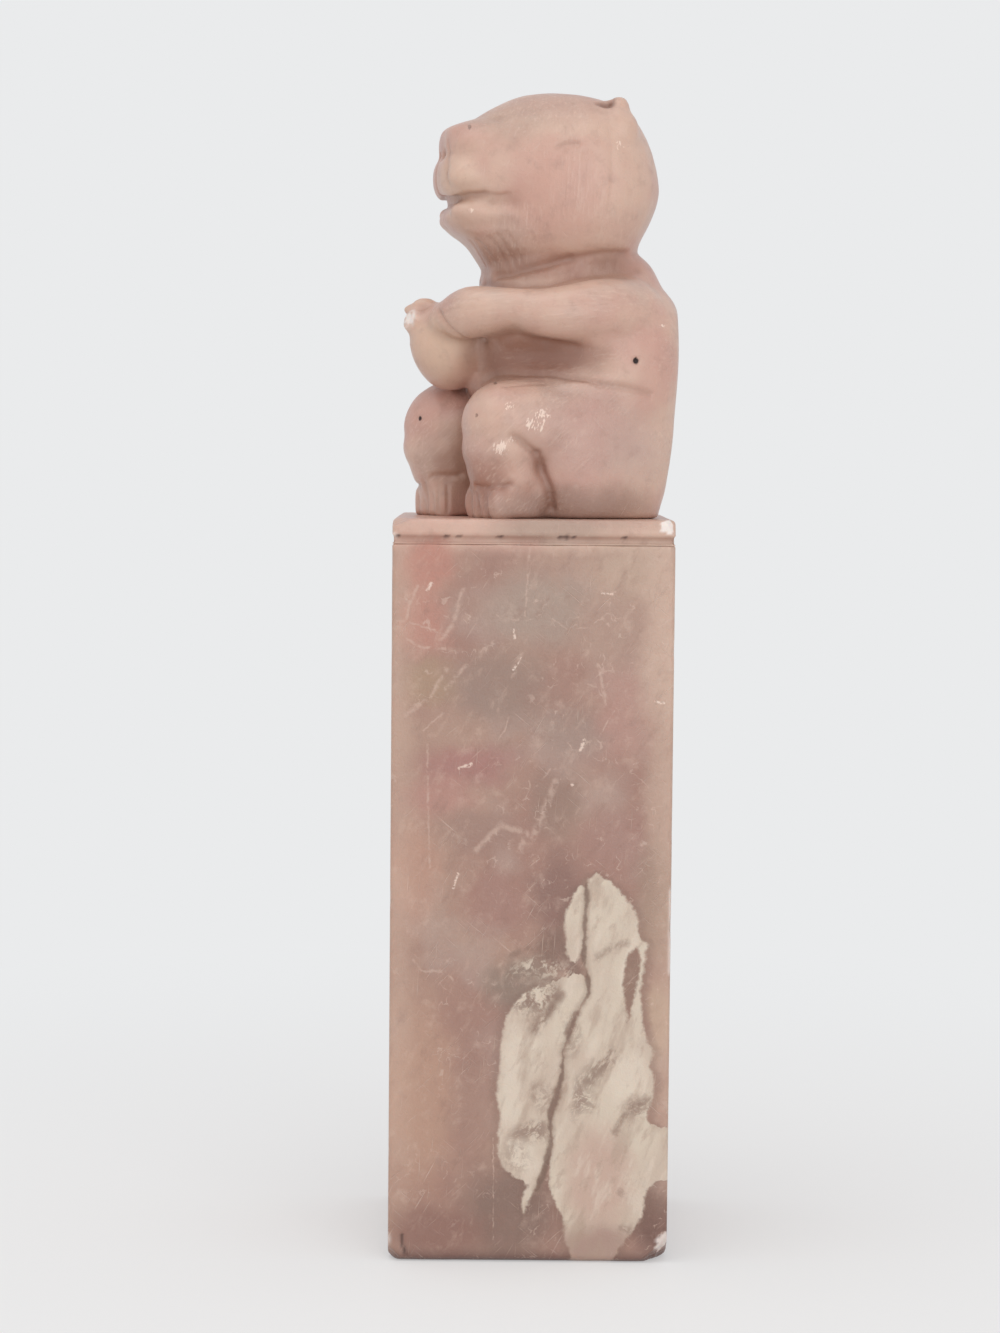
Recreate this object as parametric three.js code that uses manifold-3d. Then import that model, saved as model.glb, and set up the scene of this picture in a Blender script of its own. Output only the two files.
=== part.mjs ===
// A seal stamp cut from one square bar of soft stone. The lower part is the plain block that is
// held, with the printing face underneath. A groove sets off a low ledge, and on the ledge sits a
// carved animal with its knees drawn up, holding a peach in both hands. Sizes are in millimetres.
// The origin is the middle of the printing face, +Z points up and the animal looks towards -X.
import * as THREE from "three";
import { mergeVertices } from "three/addons/utils/BufferGeometryUtils.js";
import Module from "manifold-3d";

const wasm = await Module();
wasm.setup();

// The bar and the block.
const barWidth = 20;
const blockHeight = 51.4;
const cornerRound = 0.3;
const edgeBevel = 0.25;

// The printing face: a raised border round a lowered ground.
const borderWidth = 1.2;
const groundDepth = 0.8;

// The ledge, and the groove that two bevels make between it and the block.
const ledgeHeight = 1.8;
const grooveDepth = 0.3;

// How far the animal's hips, shoulders and head turn from -X towards -Y, in degrees.
const hipTurn = 28;
const shoulderTurn = 14;
const headTurn = 10;

// How far the turned animal is moved back to the middle of the ledge, towards -Y.
const centring = 0.025 * barWidth;

// The animal's forms, as shares of the bar's width, because the bar is what the carver starts from.
// Places are [ahead, aside, up]: ahead is the way that part of the animal faces, aside is towards
// its left hand and up is from the top of the ledge. A limb is a list of its joints, each with its
// place and radius. A trunk is a list of levels, each [up, back, front, half width]: how far the
// form reaches behind, ahead and to each side at that height. The hollows are cut into the torso
// under the arms.
const haunch = [
  [-0.05, -0.34, 0.09, 0.195],
  [0.075, -0.38, 0.135, 0.215],
  [0.2, -0.405, 0.18, 0.22],
  [0.315, -0.405, 0.2, 0.215],
  [0.42, -0.365, 0.15, 0.19],
  [0.48, -0.29, 0.06, 0.14],
  [0.505, -0.18, -0.04, 0.06],
];
const haunchAside = 0.24 * barWidth;
const thigh = [
  { at: [-0.2, 0.245, 0.255], radius: 0.215 },
  { at: [-0.03, 0.2425, 0.2975], radius: 0.2025 },
  { at: [0.12, 0.235, 0.325], radius: 0.18 },
  { at: [0.235, 0.22, 0.335], radius: 0.16 },
];
const shin = [
  { at: [0.225, 0.22, 0.28], radius: 0.1375 },
  { at: [0.2375, 0.2175, 0.2], radius: 0.14 },
  { at: [0.22, 0.215, 0.08], radius: 0.1175 },
];
const arm = [
  { at: [-0.26, 0.25, 0.72], radius: 0.15 },
  { at: [-0.155, 0.32, 0.735], radius: 0.1225 },
  { at: [0.03, 0.33, 0.725], radius: 0.095 },
  { at: [0.145, 0.29, 0.7475], radius: 0.071 },
];
const leftHand = [
  { at: [0.285, 0.2, 0.73], radius: 0.0975 },
  { at: [0.355, 0.115, 0.715], radius: 0.065 },
];
const rightHand = [
  { at: [0.315, 0.15, 0.695], radius: 0.08 },
  { at: [0.385, 0.06, 0.715], radius: 0.0575 },
];
const torso = [
  [-0.05, -0.38, 0.1, 0.315],
  [0.15, -0.44, 0.16, 0.36],
  [0.4, -0.49, 0.215, 0.395],
  [0.6, -0.5, 0.23, 0.4],
  [0.74, -0.49, 0.23, 0.37],
  [0.825, -0.45, 0.21, 0.29],
  [0.885, -0.395, 0.19, 0.245],
  [0.94, -0.345, 0.175, 0.23],
  [1.05, -0.32, 0.15, 0.21],
];
const hollow = [
  { at: [-0.25, 0.465, 0.53], radius: 0.04 },
  { at: [-0.11, 0.45, 0.56], radius: 0.09 },
  { at: [0.075, 0.41, 0.57], radius: 0.125 },
  { at: [0.275, 0.32, 0.56], radius: 0.15 },
];
const skull = [
  [0.87, -0.28, 0.07, 0.17],
  [0.93, -0.34, 0.13, 0.24],
  [1.015, -0.3825, 0.19, 0.285],
  [1.085, -0.4175, 0.23, 0.305],
  [1.185, -0.445, 0.26, 0.315],
  [1.32, -0.4175, 0.27, 0.3],
  [1.405, -0.38, 0.26, 0.265],
  [1.45, -0.345, 0.215, 0.235],
  [1.495, -0.28, 0.135, 0.185],
  [1.525, -0.175, 0.06, 0.115],
  [1.54, -0.05, -0.045, 0.005],
];
const muzzle = [
  [1.13, -0.225, 0.3, 0.245],
  [1.15, -0.225, 0.345, 0.26],
  [1.18, -0.225, 0.365, 0.265],
  [1.215, -0.225, 0.3715, 0.27],
  [1.255, -0.225, 0.37, 0.27],
  [1.285, -0.225, 0.359, 0.27],
  [1.3, -0.225, 0.3465, 0.2675],
  [1.335, -0.225, 0.3525, 0.26],
  [1.38, -0.225, 0.3475, 0.24],
  [1.405, -0.225, 0.3325, 0.22],
  [1.435, -0.225, 0.24, 0.18],
];
const jaw = [
  [0.845, -0.075, 0.145, 0.18],
  [0.905, -0.075, 0.195, 0.19],
  [0.965, -0.125, 0.235, 0.21],
  [1.005, -0.16, 0.275, 0.23],
  [1.035, -0.225, 0.325, 0.245],
  [1.065, -0.225, 0.3485, 0.25],
  [1.095, -0.225, 0.3425, 0.25],
  [1.115, -0.225, 0.325, 0.245],
  [1.14, -0.225, 0.295, 0.235],
];
const ear = [
  { at: [-0.27, 0.22, 1.33], radius: 0.06 },
  { at: [-0.26, 0.205, 1.4], radius: 0.075 },
  { at: [-0.245, 0.18, 1.465], radius: 0.045 },
];
const foot = {
  heel: 0.12 * barWidth,
  toe: 0.34 * barWidth,
  halfWidth: 0.1175 * barWidth,
  top: 0.125 * barWidth,
  aside: 0.215 * barWidth,
  round: 0.04 * barWidth,
};
const toeCount = 4;
const toeGroove = 0.016 * barWidth;
const peach = {
  ahead: 0.315 * barWidth,
  up: 0.62 * barWidth,
  halfWidth: 0.1375 * barWidth,
  halfHeight: 0.165 * barWidth,
};
const peachTip = [
  { at: [0.37, 0, 0.66], radius: 0.07 },
  { at: [0.445, 0, 0.715], radius: 0.0225 },
];

// How round and how finely the forms are cut. A roundness of 2 is an ellipse, and more is squarer.
const bodyRoundness = 2.9;
const skullRoundness = 2.4;
const faceRoundness = 4;
const haunchTaper = 0.12;
const torsoTaper = 0.12;
const skullTaper = 0.2;
const faceTaper = 0.27;
const pointsAround = 28;
const pointsAroundLimb = 18;
const ringsPerJoint = 4;
const ringsPerDome = 4;
const ringsPerLevel = 2;
const cornerSteps = 4;
const footEdgeSteps = 3;
const grooveSides = 8;
const weldDistance = 0.0001;

// A three.js geometry as a solid that can be joined and cut.
function solidOf(geometry) {
  const bare = geometry.index ? geometry.toNonIndexed() : geometry.clone();
  bare.deleteAttribute("normal");
  bare.deleteAttribute("uv");
  const merged = mergeVertices(bare, weldDistance);
  return new wasm.Manifold(
    new wasm.Mesh({
      numProp: 3,
      vertProperties: merged.attributes.position.array,
      triVerts: new Uint32Array(merged.index.array),
    }),
  );
}

// A solid as a named three.js mesh.
function meshOf(name, solid, material) {
  const { numVert, numProp, vertProperties, triVerts } = solid.getMesh();
  const position = new Float32Array(numVert * 3);
  for (let i = 0; i < numVert; i++) {
    position.set(vertProperties.subarray(i * numProp, i * numProp + 3), i * 3);
  }
  const geometry = new THREE.BufferGeometry();
  geometry.setAttribute("position", new THREE.BufferAttribute(position, 3));
  geometry.setIndex(new THREE.BufferAttribute(triVerts, 1));
  geometry.computeVertexNormals();
  const mesh = new THREE.Mesh(geometry, material);
  mesh.name = name;
  return mesh;
}

function joined(solids) {
  return solids.reduce((all, one) => all.add(one));
}

// A closed skin over rings of points, all with the same count, closed to a point at each end.
function skin(rings, bottom, top) {
  const count = rings[0].length;
  const points = [bottom, ...rings.flat(), top];
  const last = points.length - 1;
  const faces = [];
  for (let k = 0; k < count; k++) {
    const next = (k + 1) % count;
    faces.push(0, 1 + next, 1 + k);
    faces.push(last, last - count + k, last - count + next);
    for (let row = 1; row + count < last; row += count) {
      faces.push(row + k, row + next, row + count + k);
      faces.push(row + next, row + count + next, row + count + k);
    }
  }
  const geometry = new THREE.BufferGeometry().setFromPoints(points);
  geometry.setIndex(faces);
  return solidOf(geometry);
}

// Lengths between the rows of a table of shares, on one smooth curve per column.
function between(rows, t) {
  return rows[0].map((_, column) => {
    const curve = new THREE.SplineCurve(rows.map((row, i) => new THREE.Vector2(i, row[column])));
    return curve.getPoint(t).y * barWidth;
  });
}

// A trunk: level sections laid one on another. Each is an oval, wider at the back and narrower in
// front by the share that taper gives.
function trunk(levels, roundness, taper, aside = 0) {
  const steps = (levels.length - 1) * ringsPerLevel;
  const rings = [];
  for (let i = 0; i <= steps; i++) {
    const [up, back, front, half] = between(levels, i / steps);
    const ring = [];
    for (let k = 0; k < pointsAround; k++) {
      const angle = (k / pointsAround) * 2 * Math.PI;
      const along = Math.sign(Math.cos(angle)) * Math.abs(Math.cos(angle)) ** (2 / roundness);
      const across = Math.sign(Math.sin(angle)) * Math.abs(Math.sin(angle)) ** (2 / roundness);
      const x = (front + back) / 2 + (along * (front - back)) / 2;
      ring.push(new THREE.Vector3(x, aside + across * half * (1 - taper * along), up));
    }
    rings.push(ring);
  }
  const middle = (ring) =>
    ring.reduce((sum, point) => sum.add(point), new THREE.Vector3()).divideScalar(ring.length);
  return skin(rings, middle(rings[0]), middle(rings[steps]));
}

// A limb: a round tube through its joints, with a dome at each end. Its mirror image is made when
// side is -1.
function limb(joints, side = 1) {
  const rows = joints.map(({ at, radius }) => [...at, radius]);
  const places = joints.map(({ at }) => new THREE.Vector3(...at).multiplyScalar(barWidth));
  const path = new THREE.CatmullRomCurve3(places);
  const steps = (joints.length - 1) * ringsPerJoint;
  const { tangents, normals, binormals } = path.computeFrenetFrames(steps, false);
  const stations = [];
  const station = (i, lean) => {
    const [x, y, z, radius] = between(rows, i / steps);
    const middle = new THREE.Vector3(x, y, z).addScaledVector(tangents[i], radius * Math.sin(lean));
    stations.push({ i, middle, radius: radius * Math.cos(lean) });
  };
  for (let k = ringsPerDome; k > 0; k--) station(0, (-k / ringsPerDome) * (Math.PI / 2));
  for (let i = 0; i <= steps; i++) station(i, 0);
  for (let k = 1; k <= ringsPerDome; k++) station(steps, (k / ringsPerDome) * (Math.PI / 2));
  const rings = stations.slice(1, -1).map(({ i, middle, radius }) =>
    Array.from({ length: pointsAroundLimb }, (_, k) => {
      const angle = (k / pointsAroundLimb) * 2 * Math.PI;
      return middle
        .clone()
        .addScaledVector(normals[i], radius * Math.cos(angle))
        .addScaledVector(binormals[i], radius * Math.sin(angle));
    }),
  );
  const solid = skin(rings, stations[0].middle, stations[stations.length - 1].middle);
  return side > 0 ? solid : solid.mirror([0, 1, 0]);
}

// A square outline with rounded corners.
function squareOutline(width, length, round) {
  const right = width / 2 - round;
  const far = length / 2 - round;
  const outline = new THREE.Shape();
  outline.absarc(right, far, round, 0, Math.PI / 2);
  outline.absarc(-right, far, round, Math.PI / 2, Math.PI);
  outline.absarc(-right, -far, round, Math.PI, Math.PI * 1.5);
  outline.absarc(right, -far, round, Math.PI * 1.5, Math.PI * 2);
  return outline;
}

// A slab with bevelled edges at its top and bottom.
function slab(width, length, height, round, bevel, bevelSegments = 1) {
  const outline = squareOutline(width - 2 * bevel, length - 2 * bevel, round);
  const geometry = new THREE.ExtrudeGeometry(outline, {
    depth: height - 2 * bevel,
    curveSegments: cornerSteps,
    bevelThickness: bevel,
    bevelSize: bevel,
    bevelSegments,
  });
  geometry.translate(0, 0, bevel);
  return solidOf(geometry);
}

// The block, with the printing face cut into its underside.
function sealBlock() {
  const block = slab(barWidth, barWidth, blockHeight, cornerRound, edgeBevel);
  const groundWidth = barWidth - 2 * borderWidth;
  const ground = slab(groundWidth, groundWidth, 2 * groundDepth, cornerRound, edgeBevel);
  return block.subtract(ground.translate([0, 0, -groundDepth]));
}

function ledge() {
  return slab(barWidth, barWidth, ledgeHeight, cornerRound, grooveDepth).translate([0, 0, blockHeight]);
}

// One foot, a low block with rounded edges and grooves between its toes.
function footSolid(side) {
  const length = foot.toe - foot.heel;
  const height = foot.top + foot.round;
  const block = slab(length, 2 * foot.halfWidth, height, cornerRound, foot.round, footEdgeSteps);
  const placed = block.translate([(foot.toe + foot.heel) / 2, side * foot.aside, -foot.round]);
  const grooves = [];
  for (let i = 1; i < toeCount; i++) {
    const groove = new THREE.CylinderGeometry(toeGroove, toeGroove, 2 * foot.top, grooveSides);
    groove.rotateX(Math.PI / 2);
    const across = (i / toeCount - 0.5) * 2 * foot.halfWidth;
    groove.translate(foot.toe, side * foot.aside + across, 0);
    grooves.push(solidOf(groove));
  }
  return placed.subtract(joined(grooves));
}

function peachSolid() {
  const geometry = new THREE.SphereGeometry(1, pointsAround, pointsAround / 2);
  geometry.rotateX(Math.PI / 2);
  geometry.scale(peach.halfWidth, peach.halfWidth, peach.halfHeight);
  geometry.translate(peach.ahead, 0, peach.up);
  return solidOf(geometry).add(limb(peachTip));
}

// The whole animal, cut from the same bar as the block.
function animal() {
  const sides = [1, -1];
  const hips = joined(
    sides.flatMap((side) => [
      trunk(haunch, bodyRoundness, haunchTaper, side * haunchAside),
      limb(thigh, side),
      limb(shin, side),
      footSolid(side),
    ]),
  );
  const hollows = joined(sides.map((side) => limb(hollow, side)));
  const upper = joined([
    trunk(torso, bodyRoundness, torsoTaper).subtract(hollows),
    limb([...arm, ...leftHand]),
    limb([...arm, ...rightHand], -1),
    peachSolid(),
  ]);
  const head = joined([
    trunk(skull, skullRoundness, skullTaper),
    trunk(muzzle, faceRoundness, faceTaper),
    trunk(jaw, faceRoundness, faceTaper),
    ...sides.map((side) => limb(ear, side)),
  ]);
  const headTop = skull[skull.length - 1][0] * barWidth;
  const bar = slab(barWidth, barWidth, headTop + cornerRound, cornerRound, edgeBevel);
  return joined([
    hips.rotate([0, 0, 180 + hipTurn]),
    upper.rotate([0, 0, 180 + shoulderTurn]),
    head.rotate([0, 0, 180 + headTurn]),
  ])
    .translate([0, -centring, 0])
    .intersect(bar)
    .translate([0, 0, blockHeight + ledgeHeight]);
}

const stone = new THREE.MeshStandardMaterial({ color: 0xc09a88, roughness: 0.35, metalness: 0 });
const seal = new THREE.Group();
seal.add(meshOf("seal_block", sealBlock(), stone));
seal.add(meshOf("ledge", ledge(), stone.clone()));
seal.add(meshOf("animal", animal(), stone.clone()));

export default seal;
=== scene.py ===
# %% [markdown]
# A seal stamp cut from one bar of soft stone: a polished block, a groove, a low ledge, and on it
# a seated animal that holds a peach. The CAD model gives the true sizes and places, so it is
# loaded first.

# %% Load the CAD model
import math
from functools import reduce

import bmesh
import bpy
import numpy as np
from mathutils import Matrix, Vector, noise
from mathutils.bvhtree import BVHTree


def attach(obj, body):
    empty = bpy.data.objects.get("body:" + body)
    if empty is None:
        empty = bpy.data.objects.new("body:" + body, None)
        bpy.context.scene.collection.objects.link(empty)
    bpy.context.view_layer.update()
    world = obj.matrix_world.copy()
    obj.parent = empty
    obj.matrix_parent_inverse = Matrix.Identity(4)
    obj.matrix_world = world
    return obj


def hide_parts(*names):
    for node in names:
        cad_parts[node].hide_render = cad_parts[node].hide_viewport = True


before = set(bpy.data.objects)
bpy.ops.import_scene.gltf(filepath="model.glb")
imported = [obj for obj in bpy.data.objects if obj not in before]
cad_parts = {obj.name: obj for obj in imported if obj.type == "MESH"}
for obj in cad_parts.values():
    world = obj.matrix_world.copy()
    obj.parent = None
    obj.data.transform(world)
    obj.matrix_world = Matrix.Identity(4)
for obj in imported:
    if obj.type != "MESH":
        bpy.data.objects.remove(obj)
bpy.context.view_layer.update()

MM = 0.001


def corners(node):
    """The lowest and the highest corner of a CAD node, in millimetres."""
    places = [[round(c / MM, 2) for c in v.co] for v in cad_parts[node].data.vertices]
    return tuple(map(min, zip(*places))), tuple(map(max, zip(*places)))


BLOCK_LOW, BLOCK_HIGH = corners("seal_block")
LEDGE_LOW, LEDGE_HIGH = corners("ledge")
FRONT = BLOCK_LOW[1]
TOP = BLOCK_HIGH[2]
SEAT = LEDGE_HIGH[2]
print("block", BLOCK_LOW, BLOCK_HIGH, "ledge", LEDGE_LOW, LEDGE_HIGH)

# %% [markdown]
# The camera stands where the photographer's did. Its place and tilt were worked out from the four
# corners of the block's front face, with a lens long enough that the block's sides stay hidden.

# %% Camera
CAMERA_AT = (-2.322, -232.007, 58.308)
PITCH, ROLL = 4.0, 0.508
camera = bpy.data.objects.new("camera", bpy.data.cameras.new("camera"))
bpy.context.scene.collection.objects.link(camera)
bpy.context.scene.camera = camera
camera.data.lens = 85
camera.data.sensor_fit = "VERTICAL"
camera.data.sensor_height = 36
camera.data.clip_start = 0.01
camera.matrix_world = (
    Matrix.Translation(Vector(CAMERA_AT) * MM)
    @ Matrix.Rotation(math.radians(90 - PITCH), 4, "X")
    @ Matrix.Rotation(math.radians(ROLL), 4, "Z")
)
print("camera at", [round(c / MM, 1) for c in camera.matrix_world.translation])

# %% [markdown]
# Stone has no single colour, so its finish is worked out by nodes. Wiring them by hand takes a
# page, and it reads better as arithmetic: Value wraps one socket, so that adding or multiplying
# two Values adds the Math node that does it.

# %% Shader arithmetic: a value
class Value:
    """A socket in a finish, with Python's arithmetic."""

    def __init__(self, finish, socket):
        self.finish = finish
        self.socket = socket

    def math(self, operation, *values):
        return self.finish.node("Math", {"operation": operation}, dict(enumerate(values)))

    def __add__(self, other):
        return self.math("ADD", self, other)

    def __sub__(self, other):
        return self.math("SUBTRACT", self, other)

    def __rsub__(self, other):
        return self.math("SUBTRACT", other, self)

    def __mul__(self, other):
        return self.math("MULTIPLY", self, other)

    __radd__ = __add__
    __rmul__ = __mul__

    def __abs__(self):
        return self.math("ABSOLUTE", self)

    def least(self, other):
        return self.math("MINIMUM", self, other)

    def most(self, other):
        return self.math("MAXIMUM", self, other)

    def between(self, low, high):
        """0 where this is at low, 1 where it is at high, and a smooth step from one to the other."""
        settings = {"interpolation_type": "SMOOTHSTEP"}
        limits = {"Value": self, "From Min": low, "From Max": high}
        return self.finish.node("MapRange", settings, limits)

    def follow(self, points):
        """The height at this value of a smooth curve drawn through points."""
        far = 90.0
        drawn = self.finish.node("FloatCurve", {}, {"Value": self})
        mapping = drawn.socket.node.mapping
        mapping.use_clip = False
        line = mapping.curves[0].points
        for along, height in points[1:-1]:
            line.new(along, height)
        for knot, place in zip(line, sorted([(-far, 0.0), *points[1:-1], (far, 0.0)])):
            knot.location = place
        line[0].location = points[0]
        line[len(line) - 1].location = points[-1]
        mapping.update()
        return drawn


print("a Value can be added, multiplied, compared and stepped")

# %% [markdown]
# Finish is one material, or the world. Its node method makes any node and gives back the Value
# that comes out. The other methods are the kinds of node that stone needs most.

# %% Shader arithmetic: a finish
class Finish:
    """A material or a world, with one method that makes any node in it."""

    def __init__(self, owner):
        self.owner = owner
        owner.use_nodes = True
        self.tree = owner.node_tree
        self.tree.nodes.clear()

    def node(self, kind, settings=None, inputs=None, output=0):
        """A new node. Settings and inputs go by name, and the Value is the output of that number."""
        made = self.tree.nodes.new("ShaderNode" + kind)
        for name, value in (settings or {}).items():
            setattr(made, name, value)
        for key, value in (inputs or {}).items():
            if isinstance(value, Value):
                self.tree.links.new(value.socket, made.inputs[key])
            else:
                made.inputs[key].default_value = value
        return Value(self, made.outputs[output]) if made.outputs else None

    def mix(self, share, first, second):
        return self.node("Mix", {"data_type": "RGBA"}, {0: share, 6: first, 7: second}, 2)

    def vector(self, operation, *values, output=0):
        return self.node("VectorMath", {"operation": operation}, dict(enumerate(values)), output)

    def noise(self, place, scale, detail=2.0, roughness=0.5, output=0):
        inputs = {"Vector": place, "Scale": scale, "Detail": detail, "Roughness": roughness}
        return self.node("TexNoise", {}, inputs, output)


def paint(red, green, blue):
    """A colour as a colour picker shows it, 0 to 255, turned into the light that Blender mixes."""
    parts = [c / 255 for c in (red, green, blue)]
    return tuple(c / 12.92 if c <= 0.04045 else ((c + 0.055) / 1.055) ** 2.4 for c in parts) + (1.0,)


print("mid grey is", [round(c, 3) for c in paint(128, 128, 128)])

# %% [markdown]
# The stamp stands on a plain pale table top that meets a pale surround without an edge. Near the
# stamp the table is matt and takes its shadow. Further out it turns into the surround's own
# light, so no horizon shows.

# %% Table top
BACKDROP = paint(234, 235, 236)
NEAR_EDGE, FAR_EDGE = 0.015, 0.13
table = Finish(bpy.data.materials.new("table_top"))
from_middle = table.vector("LENGTH", table.node("TexCoord", output=3), output=1)
far_out = from_middle.between(NEAR_EDGE, FAR_EDGE) * 0.6 + 0.4
camera_ray = table.node("LightPath", output=0)
glossy_ray = table.node("LightPath", output=3)
matt = table.node("BsdfDiffuse", {}, {"Color": paint(246, 245, 242)})
glow = table.node("Emission", {}, {"Color": BACKDROP, "Strength": 1.0})
both = table.node("MixShader", {}, {0: far_out * camera_ray.most(glossy_ray), 1: matt, 2: glow})
table.node("OutputMaterial", {}, {"Surface": both})

FLOOR_RADIUS = 3.0
floor_mesh = bmesh.new()
bmesh.ops.create_circle(floor_mesh, cap_ends=True, segments=64, radius=FLOOR_RADIUS)
floor = bpy.data.objects.new("floor", bpy.data.meshes.new("floor"))
floor_mesh.to_mesh(floor.data)
floor_mesh.free()
floor.data.materials.append(table.owner)
bpy.context.scene.collection.objects.link(floor)
print("floor radius", FLOOR_RADIUS, "m")

# %% [markdown]
# The surround does two jobs. The camera sees it as the plain backdrop, and the stone gets a
# gentler light from it, which fills the shadows as the walls of a pale room do.

# %% Surround
SOFT_LIGHT = 0.82
sky = Finish(bpy.data.worlds.new("surround"))
bpy.context.scene.world = sky.owner
seen = sky.node("Background", {}, {"Color": BACKDROP, "Strength": 1.0})
soft = sky.node("Background", {}, {"Color": paint(236, 236, 240), "Strength": SOFT_LIGHT})
straight_ray = sky.node("LightPath", output=0)
shown = sky.node("MixShader", {}, {0: straight_ray, 1: soft, 2: seen})
sky.node("OutputWorld", {}, {"Surface": shown})
bpy.context.scene.view_settings.view_transform = "Standard"
print("surround strength", SOFT_LIGHT)

# %% [markdown]
# Polished stone shows its form by wide soft highlights. So the two lamps are large: one above, as
# a window, and one behind the camera that opens up the shadows.

# %% Lamps
LAMPS = [
    # name, place, target and size in millimetres, watts, tint
    ("top_window", (-60, -90, 330), (0, 0, 50), 260, 0.22, (1.0, 0.985, 0.96)),
    ("front_fill", (110, -400, 150), (0, 0, 45), 320, 0.42, (1.0, 0.99, 0.98)),
]


def lamp(name, place, target, size, watts, tint):
    """A square area lamp, turned to look at a target."""
    light = bpy.data.lights.new(name, "AREA")
    light.size = size * MM
    light.energy = watts
    light.color = tint
    holder = bpy.data.objects.new(name, light)
    bpy.context.scene.collection.objects.link(holder)
    turn = (Vector(target) - Vector(place)).to_track_quat("-Z", "Y").to_matrix().to_4x4()
    holder.matrix_world = Matrix.Translation(Vector(place) * MM) @ turn
    print(name, watts, "W from", place)


for row in LAMPS:
    lamp(*row)

# %% [markdown]
# The animal isn't square to the block. Its hips, its arms and its head each face a little further
# round, so places on it are given ahead, aside and up from the middle of its seat, in the frame
# of the part that they belong to. The CAD model was laid out the same way.

# %% Frames of the animal
MIDDLE = -0.5


def part_frame(turn):
    """From a part of the animal, ahead, aside and up in millimetres, to the stamp."""
    return Matrix.Translation((0, MIDDLE, SEAT)) @ Matrix.Rotation(math.radians(180 + turn), 4, "Z")


def on_part(part, at, side=1):
    """A place on a part of the animal, or its mirror image on the far side where side is -1."""
    return part @ Vector((at[0], at[1] * side, at[2]))


HIPS, UPPER, HEAD = part_frame(28), part_frame(14), part_frame(10)
BOTH, NEAR, FAR = (1, -1), (1,), (-1,)
print("the head looks along", [round(c, 2) for c in HEAD.to_3x3() @ Vector((1, 0, 0))])

# %% [markdown]
# The stone. All three pieces are one stone, so they share one pattern, worked out from the place
# in millimetres. Three kinds of shape build it: a patch is an egg, a streak is the distance from
# a line, and a body lies between two curves. Tables of them read like a map of the stone.

# %% Stone: patches, streaks and bodies
def patch(place, centre, reach):
    """Below 1 inside an egg-shaped patch and above 1 outside it."""
    from_centre = rock.vector("SUBTRACT", place, centre)
    return rock.vector("LENGTH", rock.vector("DIVIDE", from_centre, reach), output=1)


def streak(place, points):
    """The distance from a line drawn across and up on the block's front face."""
    points = [(across, FRONT, up) for across, up in points]
    pieces = []
    for start, end in zip(points, points[1:]):
        span = Vector(end) - Vector(start)
        toward = rock.vector("SUBTRACT", place, start)
        share = rock.vector("DOT_PRODUCT", toward, tuple(span / span.length_squared), output=1)
        share = rock.node("Clamp", {}, {0: share})
        foot = rock.node("VectorMath", {"operation": "SCALE"}, {0: tuple(span), "Scale": share})
        pieces.append(rock.vector("LENGTH", rock.vector("SUBTRACT", toward, foot), output=1))
    return least_of(pieces)


def body(across, up, left, right):
    """How far inside a body a place is. left and right are the body's outlines by height."""
    return (across - up.follow(left)).least(up.follow(right) - across)


def laid(share, under, *tint):
    """A share of a tint, laid over the colour that is under it."""
    return rock.mix(share, under, paint(*tint))


def least_of(values):
    """The least of several values."""
    return reduce(Value.least, values)


def most_of(values):
    """The most of several values."""
    return reduce(Value.most, values)


def so_far(*what):
    """Prints what a cell laid, and the number of nodes."""
    print(*what, len(rock.tree.nodes), "nodes so far")


rock = Finish(bpy.data.materials.new("one_stone"))
print("streaks lie on the front, at", FRONT, "mm")

# %% [markdown]
# Nothing in stone is straight, so every shape is drawn in a place that noise has pushed about: by
# a slow push that bends whole clouds, a quick one that tears edges, or both. Streaky noise is
# stretched and turned. It stands for layers, for fine scratches and for the carver's strokes.

# %% Stone: places and noises
metres = rock.node("TexCoord", output=3)
place = rock.vector("MULTIPLY", metres, (1 / MM,) * 3)


def axes(spot):
    """The three coordinates of a place."""
    parts = rock.node("SeparateXYZ", {}, {0: spot}).socket.node.outputs
    return [Value(rock, part) for part in parts]


def pushed(spot, push, amount):
    """A place moved by a push of up to half the amount, in millimetres."""
    return rock.vector("MULTIPLY_ADD", push, (amount,) * 3, spot)


def streaky(spot, lean, size, scale=1.0, detail=2.0, roughness=0.5, shift=0.0):
    """Noise stretched by size along x, y and z, and leaning by an angle in the front's plane."""
    settings = {"vector_type": "TEXTURE"}
    inputs = {"Vector": spot, "Location": (shift,) * 3, "Rotation": (0.0, -lean, 0.0), "Scale": size}
    return rock.noise(rock.node("Mapping", settings, inputs), scale, detail, roughness)


x, y, z = axes(place)
slow = rock.noise(place, 0.12, 3.0, 0.55)
slower = rock.noise(rock.vector("ADD", place, (31.0, 7.0, 3.0)), 0.2, 2.0)
fine = rock.noise(place, 0.85, 4.0, 0.6)
grain = rock.noise(place, 5.0, 3.0, 0.65)
flow = streaky(place, 1.05, (1.7, 0.7, 0.7), 0.8, 5.0, 0.7)
half = (0.5, 0.5, 0.5)
slow_push = rock.vector("SUBTRACT", rock.noise(place, 0.42, 3.0, 0.6, output=1), half)
quick_push = rock.vector("SUBTRACT", rock.noise(place, 2.2, 4.0, 0.6, output=1), half)
bent = pushed(place, slow_push, 2.2)
torn = pushed(pushed(place, quick_push, 0.6), slow_push, 0.5)
eased = pushed(pushed(place, slow_push, 0.5), quick_push, 0.3)
wander = pushed(place, quick_push, 0.35)
so_far("places and noises:")

# %% [markdown]
# The ground of the stone comes first: a tan and a rose that a slow noise mixes. The block is
# deeper in colour than the carved end, as handling and ink paste leave it.

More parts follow.
